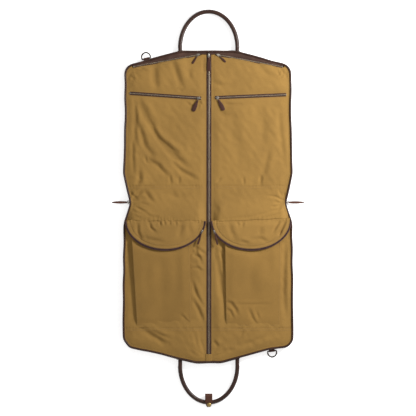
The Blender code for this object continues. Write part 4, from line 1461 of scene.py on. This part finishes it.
def build_ring_tab(word, body, bar, along, out):
    """The leather loop that holds a ring's bar: longer on the side of the bag."""
    radius, wide, rows, sides = 0.0040, 0.0098, 15, 24
    verts = []
    for u in np.linspace(-1, 1, rows):
        centre = bar + along * (u * wide)
        for t in turns(sides):
            n, z = radius * math.cos(t), radius * math.sin(t)
            stretch = 1.0 if n > 0 else 1.6
            verts.append(tuple(centre + out * (n * stretch) + Vector((0, 0, z))))
    faces = grid_faces(rows, sides, wrap_columns=True)
    tab = piece(f"ring_tab_{word}_leather", verts, faces, LEATHER_PULL)
    belongs(tab, body, "leather", f"ring_tab_{word}")


# ---------------------------------------------------------------- sliders and pulls
# The bridge on a slider: shares of its length and height.
BRIDGE = [(-0.36, 0, 0.70), (-0.33, 0, 0.98), (-0.1, 0, 1.12)]
BRIDGE += [(0.12, 0, 1.10), (0.34, 0, 0.96), (0.38, 0, 0.70)]


def slider_bmesh(length, width, high):
    """A zip slider along +x: two plates joined at the nose, and a bridge on top."""
    bm = bmesh.new()
    for low, top, grow in ((0.0, 0.26, 1.0), (0.46, 0.72, 0.94)):
        outline = []
        for t in turns(28):
            c, s = math.cos(t), math.sin(t)
            taper = 0.78 + 0.22 * (-c)
            x = length / 2 * grow * math.copysign(abs(c) ** 0.8, c)
            y = width / 2 * grow * taper * math.copysign(abs(s) ** 0.7, s)
            outline.append((x, y))
        face = bm.faces.new([bm.verts.new((x, y, low * high)) for x, y in outline])
        up = bmesh.ops.extrude_face_region(bm, geom=[face])["geom"]
        lifted = [v for v in up if isinstance(v, bmesh.types.BMVert)]
        bmesh.ops.translate(bm, verts=lifted, vec=(0, 0, (top - low) * high))
    bmesh.ops.recalc_face_normals(bm, faces=bm.faces)
    bridge = resample(np.array(BRIDGE) * [length, 1, high], 16)
    verts, faces = tube(bridge, ring(width * 0.15, 10, 0.6))
    made = [bm.verts.new(v) for v in verts]
    for f in faces:
        bm.faces.new([made[i] for i in f])
    return bm


# Length and width of each kind of slider, as drawn.
SLIDERS = {"flap": (0.0100, 0.0066), "side": (0.0150, 0.0095), "centre": (0.0145, 0.0100)}
SLIDER = (0.0118, 0.0086)
SIDE_SHIFT = -0.008             # the side zips' sliders sit a little lower, at the pinch


def build_slider(name):
    """A slider with its link, and the stitched leather pull that hangs from it."""
    node = f"{name}_slider"
    low, high = (Vector(c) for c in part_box(node))
    centre = Vector(((low.x + high.x) / 2, (low.y + high.y) / 2, low.z))
    hinge = Vector(JOINTS[f"{name}_pull_lift"]["pos_m"])
    axis = Vector(JOINTS[f"{name}_pull_lift"]["axis"])
    out = Vector((-axis.y, axis.x, 0))
    shift = Vector((0, SIDE_SHIFT if name.startswith("side") else 0, 0))
    low, high, centre, hinge = low + shift, high + shift, centre + shift, hinge + shift
    run = JOINTS[f"{name}_zip_run"]
    if run["type"] == "slide":
        along = Vector(run["axis"])
    else:
        ray = centre - Vector(run["pos_m"])
        along = Vector((-ray.y, ray.x, 0)).normalized()
    upright = name.startswith("side")
    size = SLIDERS.get(name.split("_")[0], SLIDER)
    bm = slider_bmesh(*size, 0.0060 if upright else 0.0042)
    if upright:
        # It stands on the edge zip, so its top faces out from the side of the bag.
        side = Vector((math.copysign(1, centre.x), 0, 0))
        middle = (low + high) / 2
        base = Vector((low.x if side.x > 0 else high.x, middle.y, middle.z))
        turn = Matrix((along, side.cross(along), side)).transposed().to_4x4()
        place = Matrix.Translation(base) @ turn
        top = Vector((base.x + side.x * LINK_UP, base.y, base.z))
    else:
        turn = Matrix.Rotation(math.atan2(-along.y, -along.x), 4, "Z")
        place = Matrix.Translation(centre - Vector((0, 0, 0.0006))) @ turn
        top = centre + Vector((0, 0, LINK_UP))
    bmesh.ops.transform(bm, matrix=place, verts=bm.verts)
    slider = from_bmesh(f"{name}_slider_body", bm, NICKEL)
    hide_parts(node)
    for made in (slider, build_link(name, np.array(top), np.array(hinge), axis)):
        belongs(made, node, "slider_metal")
    build_pull(name, hinge, out, axis)


LINK_UP = 0.0036                # the link leaves the slider this far above its foot
LINK_HALF = 0.0019


def build_link(name, start, end, axis):
    """The wire link between a slider and its pull."""
    way = (end - start) / np.linalg.norm(end - start)
    across = np.array(axis) / np.linalg.norm(np.array(axis))
    loop = []
    for t in np.linspace(0, 2 * math.pi, 29)[:-1]:
        c, s = math.cos(t), math.sin(t)
        loop.append((start if c < 0 else end) + way * c * LINK_HALF + across * s * LINK_HALF)
    return piece(f"{name}_link", *wire(np.array(loop), 0.00062, 8), NICKEL)


def wire(points, radius, sides):
    """A closed wire through points that may leave the plane."""
    along = directions(points, True)
    reference = np.array([0.0, 0.0, 1.0])
    side = np.cross(along, reference)
    size = np.linalg.norm(side, axis=1)
    side = side / np.maximum(size, 1e-9)[:, None]
    up = np.cross(side, along)
    circle = ring(radius, sides)
    rings = points[:, None] + side[:, None] * circle[None, :, 0:1]
    rings = rings + up[:, None] * circle[None, :, 1:2]
    return rings.reshape(-1, 3), grid_faces(len(points), sides, True, True, flip=True)


PULL_THICK = 0.0011             # half the thickness of a leather pull
PULL_SAG = 0.0006


def build_pull(name, hinge, out, axis):
    """The leather pull: a narrow neck that widens and ends round, with two stitch rows."""
    vertices = [v.co for v in frame["nodes"][f"{name}_pull"].data.vertices]
    across = Vector(axis).normalized()
    reach = [(v - hinge).dot(out) for v in vertices]
    spread = [(v - hinge).dot(across) for v in vertices]
    start, end = min(reach), max(reach)
    half = (max(spread) - min(spread)) / 2
    rows, sides = 30, 16
    verts = []
    for i in range(rows):
        u = i / (rows - 1)
        neck = 0.52 + 0.68 * step((u - 0.04) / 0.50)
        tip = math.sqrt(max(0.02, 1 - max(0, (u - 0.86) / 0.14) ** 2))
        w = half * neck * tip
        if name.startswith("side"):
            w = half * (0.35 + 0.65 * math.sin(math.pi * min(1, 0.12 + u * 0.88)) ** 0.7)
        body = PULL_THICK * (1.35 - 0.35 * step((u - 0.10) / 0.12)) * (0.55 + 0.45 * tip)
        middle = hinge + Vector(out) * (start + (end - start) * u)
        for t in turns(sides):
            c, s = math.cos(t), math.sin(t)
            px = w * math.copysign(abs(c) ** 0.55, c)
            pz = body * math.copysign(abs(s) ** 0.6, s)
            verts.append(tuple(middle + across * px + Vector((0, 0, pz - PULL_SAG * u))))
    hide = LEATHER_SIDE if name.startswith("side") else LEATHER_PULL
    pull = piece(f"{name}_pull_leather", verts, capped_faces(rows, sides), hide)
    bmesh_fix(pull)
    pull.data.shade_smooth()
    pull.data.set_sharp_from_angle(angle=math.radians(60))
    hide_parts(f"{name}_pull")
    parts = []
    for side in (-1, 1):
        line = [
            hinge
            + out * (start + (end - start) * u)
            + across * side * half * 0.62
            + Vector((0, 0, PULL_THICK * 0.96 - PULL_SAG * u))
            for u in (0.16, 0.86)
        ]
        at, way = spaced(np.array([tuple(q) for q in line]), 0.0026)
        parts.append(copies(*stitch_shape(0.0018, 0.00028), at, way))
    sewn = piece(f"{name}_pull_stitches", *joined(parts), THREAD_DARK)
    for made in (pull, sewn):
        belongs(made, f"{name}_pull", "leather")


def bmesh_fix(made):
    """Turns every face outwards."""
    bm = bmesh.new()
    bm.from_mesh(made.data)
    bmesh.ops.recalc_face_normals(bm, faces=bm.faces)
    bm.to_mesh(made.data)
    bm.free()


# ---------------------------------------------------------------- inside
def build_inside():
    bracket = frame["nodes"]["hanger_bracket"]
    bracket.data.materials.clear()
    bracket.data.materials.append(NICKEL)
    for word in WORDS:
        low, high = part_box(f"chest_pocket_{word}")
        xs = np.linspace(low[0], high[0], 50)
        ys = np.linspace(low[1], high[1], 40)
        gx, gy = np.meshgrid(xs, ys)
        inwards = np.minimum.reduce([gx - low[0], high[0] - gx, gy - low[1], high[1] - gy])
        swell = step(inwards / 0.012) * (1 + 0.3 * soft_waves(gx, gy, 41, 0.03, 0.08, 6))
        z = (low[2] + high[2]) / 2 + 0.0006 * swell
        top = np.stack([gx, gy, z], -1).reshape(-1, 3)
        pouch = thicken(piece(f"chest_pouch_{word}", top, grid_faces(40, 50), LINING), 0.0010)
        belongs(pouch, "upper_half", "lining", f"chest_pocket_{word}")


# ---------------------------------------------------------------- room, light, camera
FILL, KEY, FLOOR_GLOW = 0.51, 40.5, 0.60     # strengths of the sky, the lamp and the floor
PHOTO_PIXELS, PIXEL = 416, 0.0034            # the photograph's width, and one pixel in metres
SENSOR, DISTANCE = 36, 5.0


def build_room():
    bm = bmesh.new()
    bmesh.ops.create_grid(bm, x_segments=1, y_segments=1, size=6)
    floor = from_bmesh("floor", bm, floor_material(), smooth=False)
    floor.location.z = -0.0012
    world = bpy.data.worlds.new("studio")
    world.use_nodes = True
    background = world.node_tree.nodes["Background"].inputs
    background["Color"].default_value = (*WHITE, 1)
    background["Strength"].default_value = FILL
    bpy.context.scene.world = world
    area("key", (1.35, 0.72, 1.08), (0.0, -0.05, 0), 0.45, KEY)
    bpy.context.scene.view_settings.view_transform = "Standard"


def floor_material():
    n = Nodes("paper_floor")
    tint = n.ramp(n.noise(3.0), [(0.2, shade(WHITE, 0.93)), (0.8, shade(WHITE, 0.95))])
    n.shader.inputs["Emission Color"].default_value = (*WHITE, 1)
    n.shader.inputs["Emission Strength"].default_value = FLOOR_GLOW
    return n.done(tint, n.span(n.noise(5.0), 0.85, 0.95), n.bump(n.noise(90.0), 0.0001, 0.1))


def area(name, at, target, size, power):
    light = bpy.data.lights.new(name, "AREA")
    light.shape = "DISK"
    light.size = size
    light.energy = power
    lamp = bpy.data.objects.new(name, light)
    lamp.location = at
    lamp.rotation_euler = (Vector(target) - Vector(at)).to_track_quat("-Z", "Y").to_euler()
    bpy.context.scene.collection.objects.link(lamp)


def build_camera():
    lens = bpy.data.cameras.new("camera")
    lens.sensor_width = SENSOR
    lens.lens = SENSOR * DISTANCE / (PHOTO_PIXELS * PIXEL)
    camera = bpy.data.objects.new("camera", lens)
    camera.location = (0.0, 0.002, DISTANCE + 0.02)
    bpy.context.scene.collection.objects.link(camera)
    bpy.context.scene.camera = camera


# ---------------------------------------------------------------- the bag
def main():
    build_camera()
    build_room()
    build_front()
    build_back()
    build_back_stitches()
    build_zips()
    build_edges()
    build_yoke_bands()
    build_pockets()
    build_flaps()
    build_front_stitches()
    build_handle("top", 1, "handle_top")
    build_handle("bottom", -1, "handle_bottom")
    build_snap_strap()
    build_ring("top", "upper_half")
    build_ring("bottom", "lower_half")
    for kind in ("shoulder", "chest", "flap", "side"):
        for word in WORDS:
            build_slider(f"{kind}_{word}")
    build_slider("centre")
    build_inside()


main()
